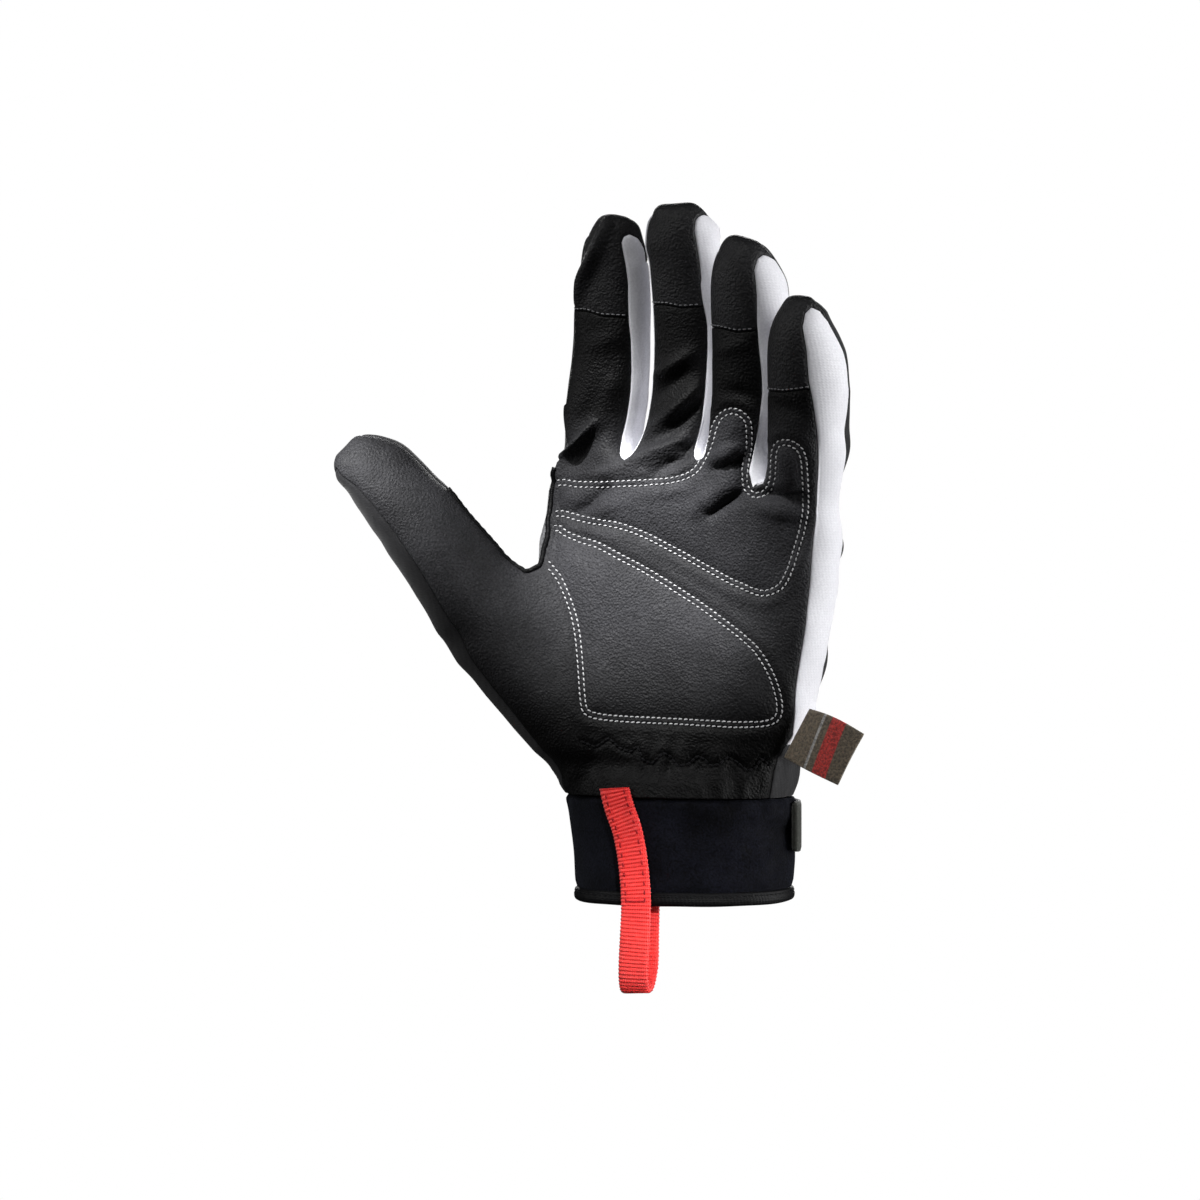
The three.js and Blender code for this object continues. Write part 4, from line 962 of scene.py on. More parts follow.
# columns round each digit, kept through the smoothing
col = net_me.uv_layers.new(name="col")
uv, counter = [], {}
for q, zone, digit, row in net_q:
    key = (zone, digit, row)
    c = counter.get(key, 0)
    counter[key] = c + 1
    uv += [c, 0, c + 1, 0, c + 1, 1, c, 1]
col.data.foreach_set("uv", [float(v) for v in uv])
net = bpy.data.objects.new("net", net_me)
SCENE.collection.objects.link(net)
sub = net.modifiers.new("sub", "SUBSURF")
sub.levels = sub.render_levels = 2 if QUICK else 3
sub.quality = 4
sub.uv_smooth = "NONE"
deps = bpy.context.evaluated_depsgraph_get()
em = net.evaluated_get(deps).to_mesh()
P = np.empty(len(em.vertices) * 3)
em.vertices.foreach_get("co", P)
P = P.reshape(-1, 3)
F = np.array([tuple(p.vertices) for p in em.polygons])
CAGE = np.empty(len(em.polygons), int)
em.polygons.foreach_get("material_index", CAGE)
UV = np.empty(len(em.loops) * 2)
em.uv_layers[0].data.foreach_get("uv", UV)
UV = UV.reshape(-1, 4, 2)
net.evaluated_get(deps).to_mesh_clear()
bpy.data.objects.remove(net)
ZONE = np.array([q[1] for q in net_q])[CAGE]
DIG = np.array([q[2] for q in net_q])[CAGE]
ROW = np.array([q[3] for q in net_q])[CAGE]
PID = np.array([PANELS.index(panel_of(z, d, r, cap_row)) for _, z, d, r in net_q])[CAGE]


def bvh_of(points, faces):
    return BVHTree.FromPolygons([tuple(v) for v in points],
                                [tuple(int(i) for i in (f if f[2] != f[3] else f[:3])) for f in faces])


# the sewn lines are slid along the surface to where the front view shows them
SEAM_AT = {
    "index": [[-20.9, 219], [-20.9, 214.8], [-20.6, 212.2], [-20.1, 209.6], [-19.1, 204.4], [-18.4, 199.2], [-18.3, 191.4],
              [-18, 186.2], [-17.3, 181], [-17.2, 175.8], [-17.1, 170.6], [-17.4, 165.4], [-18, 160.2],
              [-18.8, 155], [-20.2, 149.8], [-21, 144.6], [-20.8, 143.7]],
    "middle": [[2.6, 222], [3, 219.4], [3, 216.8], [4, 211.6], [4.9, 206.4], [5.4, 201.2], [5.1, 198.6], [5.8, 193.4],
               [7, 188.2], [7.4, 185.6], [7.5, 178], [7.1, 170.9], [6.5, 163], [5.7, 155.7], [4.5, 150.5],
               [3.1, 145.3], [3, 143.7]],
    "ring": [[22.4, 210], [22.8, 207.7], [22.4, 205.1], [22.9, 199.9], [23.3, 194.7], [23.3, 186.9], [23.9, 179.1],
             [24.5, 173.9], [25, 168.7], [25.1, 163.5], [24.5, 158.3], [23.8, 153.1], [22.9, 147.9],
             [21.8, 142.7], [20.2, 137.5], [20.7, 134.9], [21.5, 133.2]],
    "outer": [[38.5, 190], [38.1, 185.6], [38.5, 183], [39.4, 177.8], [39.7, 172.6], [40.1, 167.4], [41.2, 162.2],
              [42.1, 157], [42.8, 151.8], [43.2, 146.6], [43.4, 141.4], [43.3, 136.2], [43.1, 128.4],
              [42.6, 123.2], [41.8, 118], [41.3, 112.8], [40.9, 107.6], [40.5, 102.4], [40, 97.2],
              [39.4, 89.4], [38.5, 81.6], [37.5, 73.8], [36.5, 66], [36, 60.8], [35.8, 50.4]],
}
SEAM_AT["gusset"] = [[-36.4, 190.8], [-37.7, 177.8], [-39.0, 160.2], [-39.8, 148.5], [-41.2, 142.7], [-41.9, 140.1], [-42.7, 136.8], [-42.9, 129.0], [-42.9, 122.5], [-43.4, 114.4], [-44.3, 109.5], [-46.1, 105.9]]
SEAM_AT["thumb"] = [[-78.3, 132.6], [-70.0, 120.4], [-60.9, 111.3], [-54.9, 106.2], [-50.7, 104.0]]
smooth_bvh = bvh_of(P, F)
N0 = vertex_normals(P, F)
move = np.zeros_like(P)
for name, line in SEAM_AT.items():
    if name == "outer":
        body = ((ZONE == "palm") & ((DIG == "little") | (ROW < 100))) | (ZONE == "outer") | ((ZONE == "right") & (DIG == "little"))
        rim = ((ZONE == "outer") | ((ZONE == "right") & (DIG == "little")))
    elif name == "gusset":
        rim = (ZONE == "gusset") | ((ZONE == "left") & (DIG == "index"))
        body = rim | ((ZONE == "palm") & (DIG == "index") & (ROW > 7))
    else:
        body = (DIG == name) & np.isin(ZONE, ["palm", "right"]) | ((ZONE == "palm") & (ROW < 100) & (ROW > 10) & (DIG != "thumb"))
        rim = (ZONE == "right") & (DIG == name)
    on = np.zeros(len(P), bool)
    fr = np.where(rim)[0]
    for k in range(4):
        hit = UV[fr, k, 0] > S - 1e-4 if name == "gusset" else UV[fr, k, 0] < 1e-4
        on[F[fr[hit], k]] = True
    ids = np.where(on)[0]
    sx, sz, f = seen(P[ids])
    L = np.array(sorted(line, key=lambda r: r[1]))
    want = np.interp(sz, L[:, 1], L[:, 0])
    fade = np.clip((sz - L[0, 1] + 3) / 4, 0, 1) * np.clip((L[-1, 1] + 2 - sz) / 4, 0, 1)
    dx = np.clip(want - sx, -4.2, 4.2) * fade
    tree = kdtree.KDTree(len(ids))
    for i, v in enumerate(ids):
        tree.insert(Vector(P[v]), i)
    tree.balance()
    members = np.unique(F[body])
    for v in members:
        co, i, d = tree.find(Vector(P[v]))
        if d > 13:
            continue
        w = math.exp(-(d / 5.0) ** 2)
        step = RIGHT * dx[i] * f[i] * w
        if abs(step).sum() > abs(move[v]).sum():
            move[v] = step
if True:
    t = move - N0 * np.sum(move * N0, axis=1, keepdims=True)
    k = np.linalg.norm(move, axis=1) / np.maximum(np.linalg.norm(t, axis=1), 1e-9)
    t *= np.minimum(k, 1.8)[:, None]
    for v in np.where(np.linalg.norm(t, axis=1) > 1e-4)[0]:
        co = smooth_bvh.find_nearest(Vector(P[v] + t[v]))[0]
        P[v] = co

# small corrections of the outline, as the front view shows it:
# digit, across, up, move across, move up, radius
WARP = [
    ("index", -16.2, 217.4, 0.75, 0.65, 2.6),
    ("index", -31.2, 218.1, 0.72, -0.39, 3.2),
    ("index", -26.3, 222.6, 0.07, -0.52, 2.9),
    ("index", -21.4, 222.6, -0.1, -0.65, 2.9),
    ("index", -35.4, 192.1, -0.78, 0.1, 6.5),
    ("index", -38, 158.2, -0.98, 0, 7.2),
    ("index", -40.6, 144.6, 0.85, -0.13, 3.2),
    ("middle", -11.7, 218.1, -1.46, 0.81, 2.9),
    ("middle", -8.1, 223.6, -0.75, 0.98, 2.6),
    ("middle", 10.1, 216.1, 1.46, 1.04, 3.2),
    ("middle", -10.7, 211.9, -1.3, 0, 3.2),
    ("ring", 20.8, 215.1, -0.16, -0.78, 3.9),
    ("ring", 32.5, 199.2, 0.75, 0.26, 4.5),
    ("little", 41.6, 193.4, 0.36, 0.91, 2.9),
    ("little", 44.6, 190.8, 0.88, 0.65, 2.9),
    ("little", 51.4, 175.2, 0.98, 0.16, 5.2),
    ("little", 52.4, 166.1, 1.04, 0, 5.2),
    ("little", 54, 151.4, -1.17, 0, 4.5),
    ("palm", 51.1, 128, -1.23, 0, 5.2),
    ("palm", 49.8, 113.4, 0.75, -0.13, 4.5),
    ("palm", 48.4, 101.7, 0.98, -0.1, 5.2),
    ("palm", 46.5, 79, -0.88, 0, 5.2),
    ("palm", 45.5, 71.2, -1.37, 0.33, 5.2),
    ("palm", 44.6, 65.6, -1.62, 0.33, 5.2),
    ("palm", -43.2, 130.9, -1.59, 0.23, 5.2),
    ("palm", -44.5, 122.5, -1.49, 0.23, 4.5),
    ("palm", -45.8, 113.4, -1.89, 0.62, 3.9),
    ("palm", -47.1, 108.5, -1.95, 0.65, 2.9),
    ("palm", -50.4, 105.9, 0, 0.81, 3.2),
    ("palm", -56.2, 107.5, 0.98, 1.43, 3.6),
    ("palm", -62.4, 113.4, 1.37, 1.3, 4.5),
    ("palm", -66.9, 119.6, 1.01, 0.88, 3.9),
    ("palm", -71.2, 125.1, 0.55, 0.55, 3.9),
    ("palm", -76.3, 131.6, 0.59, 0.65, 3.9),
    ("palm", -112.8, 142.3, -1.27, 0.45, 2.9),
    ("palm", -112.8, 137.1, -0.91, -0.55, 2.9),
    ("palm", -92, 146.9, 0.39, 0.55, 3.9),
    ("palm", -109.8, 130.9, 0.42, 0.29, 2.9),
    ("palm", -101.7, 119.9, -0.42, -0.26, 3.9),
    ("palm", -96.2, 111.8, -0.42, -0.29, 3.9),
    ("palm", -78.6, 84.5, -0.78, -0.45, 4.5),
    ("palm", -73.8, 77.7, -0.85, -0.65, 4.5),
    ("palm", -51, 48.7, 0.36, 0.29, 3.9),
    ("palm", -42.9, 38.3, 1.14, 0.42, 3.9),
    ("palm", 38.4, 41.2, 0.39, 0.78, 2.6),
    ("palm", 38.1, 31.8, -1.33, -0.39, 2.6),
]
vx, vz, vf = seen(P)
group = np.full(len(P), "palm  ")
for k in ("index", "middle", "ring", "little"):
    group[np.unique(F[(DIG == k) & (ROW >= 100)])] = k
group[np.unique(F[(ZONE == "tip") & (DIG != "thumb")])] = "tip"
for k in ("index", "middle", "ring", "little"):
    group[np.unique(F[(ZONE == "tip") & (DIG == k)])] = k
near = np.zeros(len(P))
slide = np.zeros((len(P), 2))
for k, x, z, mx, mz, r in WARP:
    same = group == k if k != "palm" else np.ones(len(P), bool)
    w = np.where(same, np.exp(-((vx - x) ** 2 + (vz - z) ** 2) / (r * 1.25) ** 2), 0)
    near += w
    slide += w[:, None] * np.array([mx, mz])
slide /= np.maximum(near, 1.0)[:, None]
P = P + (slide[:, 0] * vf)[:, None] * RIGHT + (slide[:, 1] * vf)[:, None] * UPV

# rounded tops of the white side walls and the sewn line under each tip
WHITE_EDGE = {"index": [[-23.7, 206.4], [-21.4, 210.2], [-20.3, 213.7], [-19.8, 214.7], [-17.9, 215.5], [-15.2, 214.2], [-13.8, 211.7], [-13.1, 209.7], [-12.7, 206.4]],
              "middle": [[0.3, 206.4], [1.6, 211.9], [3.1, 216.5], [3.6, 220.0], [4.6, 221.3], [6.1, 222.0], [9.1, 220.9], [11.3, 217.9], [12.0, 214.8]],
              "ring": [[20.2, 195.3], [21.5, 200.5], [22.8, 204.9], [23.7, 207.6], [25.7, 209.0], [28.0, 208.3], [30.8, 206.2], [33.5, 200.0], [34.1, 197.2]],
              "little": [[36.4, 179.4], [37.4, 182.6], [38.5, 186.9], [39.0, 189.7], [41.1, 191.8], [43.8, 190.7], [47.3, 186.3], [51.1, 180.8], [53.0, 177.1]]}
WHITE_TOP = {"index": 216.3, "middle": 220.4, "ring": 206.6, "little": 187.6}
CAP_LINE = {"index": [[-40, 190.8], [-32, 190.2], [-27, 188.6], [-20, 188.2]],
            "middle": [[-15, 192.6], [-6, 192.3], [-1, 191.3], [8, 192.0]],
            "ring": [[6, 185.3], [12, 184.6], [17, 183.4], [26, 184.2]],
            "little": [[24, 164.6], [32, 163.9], [40, 164.9]]}


def divide(sel, g, low, high):
    """Split the chosen faces between two panels along the zero line of g."""
    global F, PID, UV, ZONE, DIG, ROW
    idx = np.where(sel)[0]
    fixed = {}
    faces = F[idx]
    edges = {tuple(sorted((int(f[k]), int(f[(k + 1) % 4])))) for f in faces for k in range(4) if f[k] != f[(k + 1) % 4]}
    locked = set(np.unique(F[~sel]).tolist())
    for a, b in sorted(edges):
        ga, gb = g[a], g[b]
        if ga * gb >= 0:
            continue
        u = ga / (ga - gb)
        v, share = (a, u) if u < 0.5 else (b, 1 - u)
        if v in fixed:
            continue
        if v in locked and not (a in locked and b in locked):
            v, share = (b, 1 - u) if v == a else (a, u)
            if v in fixed or v in locked or share > 0.85:
                continue
        other = b if v == a else a
        fixed[v] = P[v] + (P[other] - P[v]) * share
    for v, p in fixed.items():
        P[v] = p
        g[v] = 0.0
    new = []
    for i in idx:
        f = F[i]
        s = g[f]
        pos, neg = (s > 1e-9), (s < -1e-9)
        if pos.any() and neg.any():
            z = [k for k in range(4) if not pos[k] and not neg[k]]
            if len(z) == 2 and z[1] - z[0] == 2 and f[2] != f[3]:
                o, p_ = z
                r = [(o + k) % 4 for k in range(4)]
                tri1, tri2 = [r[0], r[1], r[2], r[2]], [r[0], r[2], r[3], r[3]]
                for tri in (tri1, tri2):
                    m = g[f[tri]].sum()
                    new.append((f[tri], high if m > 0 else low, UV[i][tri], i))
                PID[i] = -1
                continue
            PID[i] = high if s.sum() > 0 else low
        else:
            PID[i] = high if pos.any() or not neg.any() else low
    if new:
        F = np.vstack([F, [n[0] for n in new]])
        UV = np.concatenate([UV, [n[2] for n in new]])
        src = [n[3] for n in new]
        ZONE, DIG, ROW = (np.concatenate([a, a[src]]) for a in (ZONE, DIG, ROW))
        PID = np.concatenate([PID, [n[1] for n in new]])
        keep = PID >= 0
        F, PID, UV, ZONE, DIG, ROW = F[keep], PID[keep], UV[keep], ZONE[keep], DIG[keep], ROW[keep]


for k, top in WHITE_TOP.items():
    cap = PANELS.index("tip_cap_" + k)
    for zone in ("right", "left"):
        if k == "index" and zone == "left":
            continue
        sel = (DIG == k) & (ZONE == zone) & (ROW >= 100 + RINGS[k] - 4)
        white = int(PID[(DIG == k) & (ZONE == zone) & (ROW == 104)][0])
        s = np.full(len(P), 0.5)
        s[F[sel].ravel()] = UV[sel][:, :, 0].ravel() / S
        s = s if zone == "right" else 1 - s
        if zone == "right":
            sx, sz, _ = seen(P)
            E = np.array(WHITE_EDGE[k])
            g = sz - np.interp(sx, E[:, 0], E[:, 1])
        else:
            g = P[:, 2] - (top - 5.0 * np.abs(s - 0.45) ** 2)
        divide(sel, g, white, cap)
for k, line in CAP_LINE.items():
    cap = PANELS.index("tip_cap_" + k)
    sel = (DIG == k) & (ZONE == "palm") & (ROW >= cap_row[k] - 1) & (ROW <= cap_row[k] + 1)
    sx, sz, _ = seen(P)
    L = np.array(line)
    divide(sel, sz - np.interp(sx, L[:, 0], L[:, 1]), 0, cap)

# the gusset ends at the base of the index finger
sx, sz, _ = seen(P)
sel = (PID == 6) & (np.isin(DIG, ["index"]) | (ZONE == "gusset"))
divide(sel, sz - 139.2, 6, 1)

N0 = vertex_normals(P, F)
lo = np.full(len(P), 99)
hi = np.full(len(P), -1)
for k in range(4):
    np.minimum.at(lo, F[:, k], PID)
    np.maximum.at(hi, F[:, k], PID)
seam = lo != hi
on_palm = np.zeros(len(P), bool)
on_palm[np.unique(F[np.isin(PID, [0, 7, 8, 9, 10])])] = True
on_white = np.zeros(len(P), bool)
on_white[np.unique(F[np.isin(PID, [2, 3, 4, 5])])] = True
on_back = np.zeros(len(P), bool)
on_back[np.unique(F[PID == 1])] = True
tree = kdtree.KDTree(int(seam.sum()))
for i, p in enumerate(P[seam]):
    tree.insert(Vector(p), i)
tree.balance()
dseam = np.array([tree.find(Vector(p))[2] for p in P])

X, Y, Z = P[:, 0], P[:, 1], P[:, 2]
VX, VZ, _ = seen(P)
toward = N0 @ np.array([SA, -CA, 0.0])       # 1 where the surface faces the front view
facing = np.clip(-N0[:, 1], 0, 1)
H = np.zeros(len(P))
# stuffed look between seams
H += 0.50 * (1 - np.exp(-dseam / 3.2)) - 0.18
# soft unevenness
H += 0.30 * value_noise(P, 15, 3) + 0.13 * value_noise(P, 6.5, 4)
# folds at the finger bases and over the palm
fold = np.zeros(len(P))
for x0, z0, x1, z1, h, w in FOLDS:
    d, t = seg_dist(VX, VZ, x0, z0, x1, z1)
    fold += h * np.exp(-(d / w) ** 2) * np.sin(np.pi * np.clip(0.10 + 0.80 * t, 0, 1)) ** 0.6
open_edge = (VX < -31) & (VZ > 133) & (VZ < 160)
H += 1.9 * fold * np.where(open_edge, 1, np.clip(toward * 2.2 - 0.2, 0, 1) * np.clip(dseam / 2.2, 0.15, 1)) * on_palm
# stitched grooves of the padded patches
ring_up, ring_lo = smooth_closed(PAD_UPPER, 2), smooth_closed(PAD_LOWER, 2)
front_zone = (toward > 0.15) & on_palm & (VZ > 50) & (VZ < 163) & (VX > -46)
for ring in (ring_up, ring_lo):
    idx = np.where(front_zone)[0]
    d = poly_dist(VX[idx], VZ[idx], ring)
    ins = inside(VX[idx], VZ[idx], ring)
    H[idx] += np.where(ins, -0.75 * np.clip(d / 1.2, 0.6, 1), -0.50 * np.exp(-(d / 0.9) ** 2) + 0.35 * np.exp(-((d - 2.6) / 1.8) ** 2))
# gathers of the elastic at the wrist
zig_z = 43.5
ang = np.arctan2(X - WRIST_X, -Y)
H -= 1.3 * np.exp(-((Z - zig_z) / 3.6) ** 2)
gather = np.sin(ang * 19 + 1.8 * value_noise(P, 9, 7))
H += 0.85 * np.exp(-((Z - zig_z - 1.5) / 6.5) ** 2) * gather * (0.55 + 0.45 * value_noise(P, 12, 9))
H += 0.45 * np.exp(-((Z - 37) / 4.2) ** 2) * value_noise(P * np.array([2.4, 2.4, 1.0]), 5, 12)
idx = np.where((toward > 0.1) & (VZ > 36) & (VZ < 56))[0]
dz_ = np.full(len(idx), 1e9)
for a, b in zip(ZIG[:-1], ZIG[1:]):
    dz_ = np.minimum(dz_, seg_dist(VX[idx], VZ[idx], a[0], a[1], b[0], b[1])[0])
H[idx] += -0.55 * np.exp(-(dz_ / 0.75) ** 2) + 0.22 * np.exp(-((dz_ - 1.9) / 1.0) ** 2)
# light cross folds of the side panels and of the back of the fingers
H += np.where(on_white, 0.20 * np.sin(Z / 2.6 + 3 * value_noise(P, 10, 21)) * np.clip(value_noise(P, 16, 22), 0, 1)
              * np.clip(dseam / 2, 0, 1), 0)
backside = np.clip(N0[:, 1], 0, 1)
H += 0.6 * backside * np.clip(value_noise(P, 22, 31), 0, 1) * np.sin(Z / 3.0 + X / 9 + 2 * value_noise(P, 14, 32)) * np.clip((Z - 150) / 10, 0, 1)
# knuckles seen past the white side
for z0, h, w in ((178, 0.5, 7), (147, 1.5, 8), (113, 4.2, 7), (76, 3.8, 11)):
    H += h * np.exp(-((Z - z0) / w) ** 2) * (on_back & ~on_white) * (X > 38) * np.clip(dseam / 1.6, 0.3, 1) * np.exp(-(dseam / 9) ** 2)
P = P + N0 * H[:, None]
Nf = vertex_normals(P, F)

WALL = 1.5
made = {}


def panel_object(pid, name, mat, wall=WALL):
    sel = F[PID == pid]
    used, inv = np.unique(sel, return_inverse=True)
    inv = inv.reshape(sel.shape)
    A = P[used].copy()
    Nn = Nf[used]
    edges = {}
    for f in inv:
        for k in range(4):
            edges[(int(f[k]), int(f[(k + 1) % 4]))] = True
    rim = [e for e in edges if (e[1], e[0]) not in edges]
    pullv = np.zeros_like(A)
    for a, b in rim:
        t = A[b] - A[a]
        t /= max(np.linalg.norm(t), 1e-9)
        for i in (a, b):
            pullv[i] += np.cross(Nn[i], t)
    on = np.unique([i for e in rim for i in e])
    L = np.linalg.norm(pullv[on], axis=1, keepdims=True)
    D = pullv[on] / np.maximum(L, 1e-9) * np.minimum(2 / np.maximum(L, 0.6), 2.0)
    n = len(A)
    slot = {int(v): i for i, v in enumerate(on)}
    nb = len(on)
    base = A[on].copy()
    NB = Nn[on]
    A[on] = base + D * 0.42
    lips = [(0.22, 0.08), (0.10, 0.30), (0.07, 0.62)]
    ringsv = [base + D * p - NB * q for p, q in lips]
    inner = A - Nn * wall
    inner[on] = base + D * 0.10 - NB * wall
    V = np.vstack([A] + ringsv + [inner])
    Fo = [tuple(f) for f in inv]
    off = n + nb * len(lips)
    Fi = [tuple(off + int(i) for i in f[::-1]) for f in inv]
    R = []
    for a, b in rim:
        chain_a = [a] + [n + k * nb + slot[a] for k in range(len(lips))] + [off + a]
        chain_b = [b] + [n + k * nb + slot[b] for k in range(len(lips))] + [off + b]
        for k in range(len(chain_a) - 1):
            R.append((chain_b[k], chain_a[k], chain_a[k + 1], chain_b[k + 1]))
    ob = mesh_object(name, V * MM, Fo + Fi + R, mat)
    tri = A[inv]
    area = 0.5 * np.linalg.norm(np.cross(tri[:, 2] - tri[:, 0], tri[:, 3] - tri[:, 1]), axis=1).sum() * 1e-6
    made[name] = ob
    return ob, area


PANEL_MAT = {"palm_panel": "leather", "back_panel": "back", "thumb_gusset": "mesh",
             "fourchette_index_middle": "white", "fourchette_middle_ring": "white",
             "fourchette_ring_little": "white", "outer_side_panel": "white",
             "tip_cap_index": "cap", "tip_cap_middle": "cap", "tip_cap_ring": "cap", "tip_cap_little": "cap"}
FLAT = {"palm_panel": (0.19, 0.175), "back_panel": (0.21, 0.22), "thumb_gusset": (0.03, 0.095),
        "fourchette_index_middle": (0.02, 0.15), "fourchette_middle_ring": (0.02, 0.145),
        "fourchette_ring_little": (0.02, 0.13), "outer_side_panel": (0.035, 0.15),
        "tip_cap_index": (0.038, 0.034), "tip_cap_middle": (0.042, 0.036),
        "tip_cap_ring": (0.042, 0.034), "tip_cap_little": (0.038, 0.034)}


def declare(ob, node_name, slot):
    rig.ride(ob, "root")
    if node_name:
        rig.replaces(ob, node_name)
    if slot:
        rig.slot(ob, slot)


SLOT = {"leather": "leather", "back": "back_fabric", "mesh": "mesh", "white": "white_stretch", "cap": "cap_leather"}
areas = {}
for i, name in enumerate(PANELS):
    mk = PANEL_MAT[name]
    ob, area = panel_object(i, name + "_cloth", MAT[mk])
    areas[name] = area
    declare(ob, name, SLOT[mk])
    if name == "back_panel":
        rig.replaces(ob, "back_thumb", "back_index", "back_middle", "back_ring", "back_little")
    w, l = FLAT[name]
    a = min(area * 0.985, w * l)
    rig.sheet(ob, flat=(w, l), held="stretched", area=max(a, 0.31 * w * l))

# ---- surface lookups as the front view shows them ----------------------------
bvh_palm_faces = F[PID == 0]
bvh_palm = bvh_of(P, bvh_palm_faces)
bvh_all = bvh_of(P, F)


def ray_to(x, z):
    d = x * RIGHT + z * UPV - EYE
    return d / np.linalg.norm(d)


def drop(x, z):
    """The palm surface point and smooth normal seen at x, z."""
    loc, nrm, idx, dist = bvh_palm.ray_cast(Vector(EYE), Vector(ray_to(x, z)), 2000)
    if loc is None:
        return None, None
    f = bvh_palm_faces[idx]
    w = 1 / (np.linalg.norm(P[f] - np.array(loc), axis=1) + 0.05)
    n = (Nf[f] * w[:, None]).sum(0)
    n /= np.linalg.norm(n)
    if n @ np.array([SA, -CA, 0.0]) < 0.1:
        return None, None
    return np.array(loc), n


def row_offset(ring, d):
    """The outline moved inward by d, in x and z."""
    R = np.array(ring)
    T = np.roll(R, -1, 0) - np.roll(R, 1, 0)
    T /= np.linalg.norm(T, axis=1, keepdims=True)
    area = 0.5 * np.sum(R[:, 0] * np.roll(R[:, 1], -1) - np.roll(R[:, 0], -1) * R[:, 1])
    s = 1 if area > 0 else -1
    Nn = np.stack([-T[:, 1], T[:, 0]], 1) * s
    Q = R + Nn * d
    keep = poly_dist(Q[:, 0], Q[:, 1], ring) > d * 0.93
    return Q, keep


PAD_EDGE = 0.7                 # leather outside the outer stitch row
PAD_ROWS = (PAD_EDGE, PAD_EDGE + 1.65)


def pad_height(d):
    h = -0.15 + 0.65 * (1 - np.exp(-(d / 0.6) ** 2)) + 1.75 * (1 - np.exp(-(np.maximum(d - 2.2, 0) / 5.5) ** 1.25))
    for r in PAD_ROWS:
        h = h - 0.26 * np.exp(-((d - r) / 0.5) ** 2)
    return h


def pad_object(name, ring, mat, seed):
    step = 2.0 if QUICK else 1.15
    R = resample(ring, step * 0.8, closed=True)
    rows = [R]
    pts = list(R)
    nb = len(R)
    for d in (0.35, 0.7, 1.1, 1.55, 2.35, 2.9) if not QUICK else (0.7, 2.35):
        Q, keep = row_offset(R, d)
        pts += [tuple(q) for q, k in zip(Q, keep) if k]
    xs = np.arange(R[:, 0].min(), R[:, 0].max(), step)
    zs = np.arange(R[:, 1].min(), R[:, 1].max(), step)
    GX, GZ = np.meshgrid(xs, zs)
    GX = GX + (np.arange(len(zs)) % 2)[:, None] * step / 2
    GX, GZ = GX.ravel(), GZ.ravel()
    ok = inside(GX, GZ, R)
    dd = poly_dist(GX, GZ, R)
    ok &= dd > 3.5
    pts += list(zip(GX[ok], GZ[ok]))
    edges = [(i, (i + 1) % nb) for i in range(nb)]
    v2, _, faces, *_ = geometry.delaunay_2d_cdt([Vector((float(a), float(b))) for a, b in pts], edges,
                                                [list(range(nb))], 1, 1e-5)
    v2 = np.array([tuple(v) for v in v2])
    d = poly_dist(v2[:, 0], v2[:, 1], R)
    h = pad_height(d)
    V = np.zeros((len(v2), 3))
    NV = np.zeros((len(v2), 3))
    good = np.ones(len(v2), bool)
    for i, (x, z) in enumerate(v2):
        p, n = drop(x, z)
        if p is None:
            good[i] = False
            continue
        V[i], NV[i] = p, n
    h = h + 0.16 * value_noise(V, 9, seed) * np.clip(d / 6, 0, 1)
    V2 = V + NV * h[:, None]
    faces = [f for f in faces if all(good[i] for i in f)]
    used = sorted({i for f in faces for i in f})
    mp = {v: i for i, v in enumerate(used)}
    V2, NV, V0 = V2[used], NV[used], V[used]
    faces = [tuple(mp[i] for i in f) for f in faces]
    # outward orientation
    a, b, c = (V2[[f[k] for f in faces]] for k in range(3))
    if np.cross(b - a, c - a)[:, 1].sum() > 0:
        faces = [f[::-1] for f in faces]
    n = len(V2)
    ed = {(f[k], f[(k + 1) % len(f)]) for f in faces for k in range(len(f))}
    rim = [e for e in ed if (e[1], e[0]) not in ed]
    low = V0 - NV * 0.75
    F2 = faces + [tuple(n + i for i in f[::-1]) for f in faces] + [(b_, a_, n + a_, n + b_) for a_, b_ in rim]
    ob = mesh_object(name, np.vstack([V2, low]) * MM, F2, mat)
    return ob


pads = {}
def grown(ring, by):
    R = resample(ring, 0.9, closed=True)
    T = np.roll(R, -2, 0) - np.roll(R, 2, 0)
    T /= np.linalg.norm(T, axis=1, keepdims=True)
    area = 0.5 * np.sum(R[:, 0] * np.roll(R[:, 1], -1) - np.roll(R[:, 0], -1) * R[:, 1])
    Q = R + np.stack([T[:, 1], -T[:, 0]], 1) * (by if area > 0 else -by)
    return Q[poly_dist(Q[:, 0], Q[:, 1], R) > by * 0.9]


edge_up, edge_lo = grown(ring_up, PAD_EDGE), grown(ring_lo, PAD_EDGE)
for name, ring, seed in (("pad_upper", edge_up, 51), ("pad_lower", edge_lo, 52)):
    ob = pad_object(name + "_leather", ring, MAT["pad"], seed)
    declare(ob, name, "pad_leather")
    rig.padded(ob, fill=0.35)
    pads[name] = ob

# ---- stitches ---------------------------------------------------------------
def surface_on(tree_, x, z):
    loc, nrm, idx, dist = tree_.ray_cast(Vector(EYE * MM), Vector(ray_to(x, z)), 2.0)
    return (np.array(loc) / MM, np.array(nrm)) if loc is not None else (None, None)


def add_stitches(name, rows, mat, length, radius, rise, lift=0.0, slot=None):
    V, Fs = [], []
    for C, T, Nn in rows:
        v, f = capsule_strip(C, T, Nn, length, radius, lift=lift, rise=rise, sides=6)
        o = len(V)
        V += v
        Fs += [tuple(o + i for i in q) for q in f]
    ob = mesh_object(name, np.array(V) * MM, Fs, mat)
    declare(ob, None, None)
    return ob


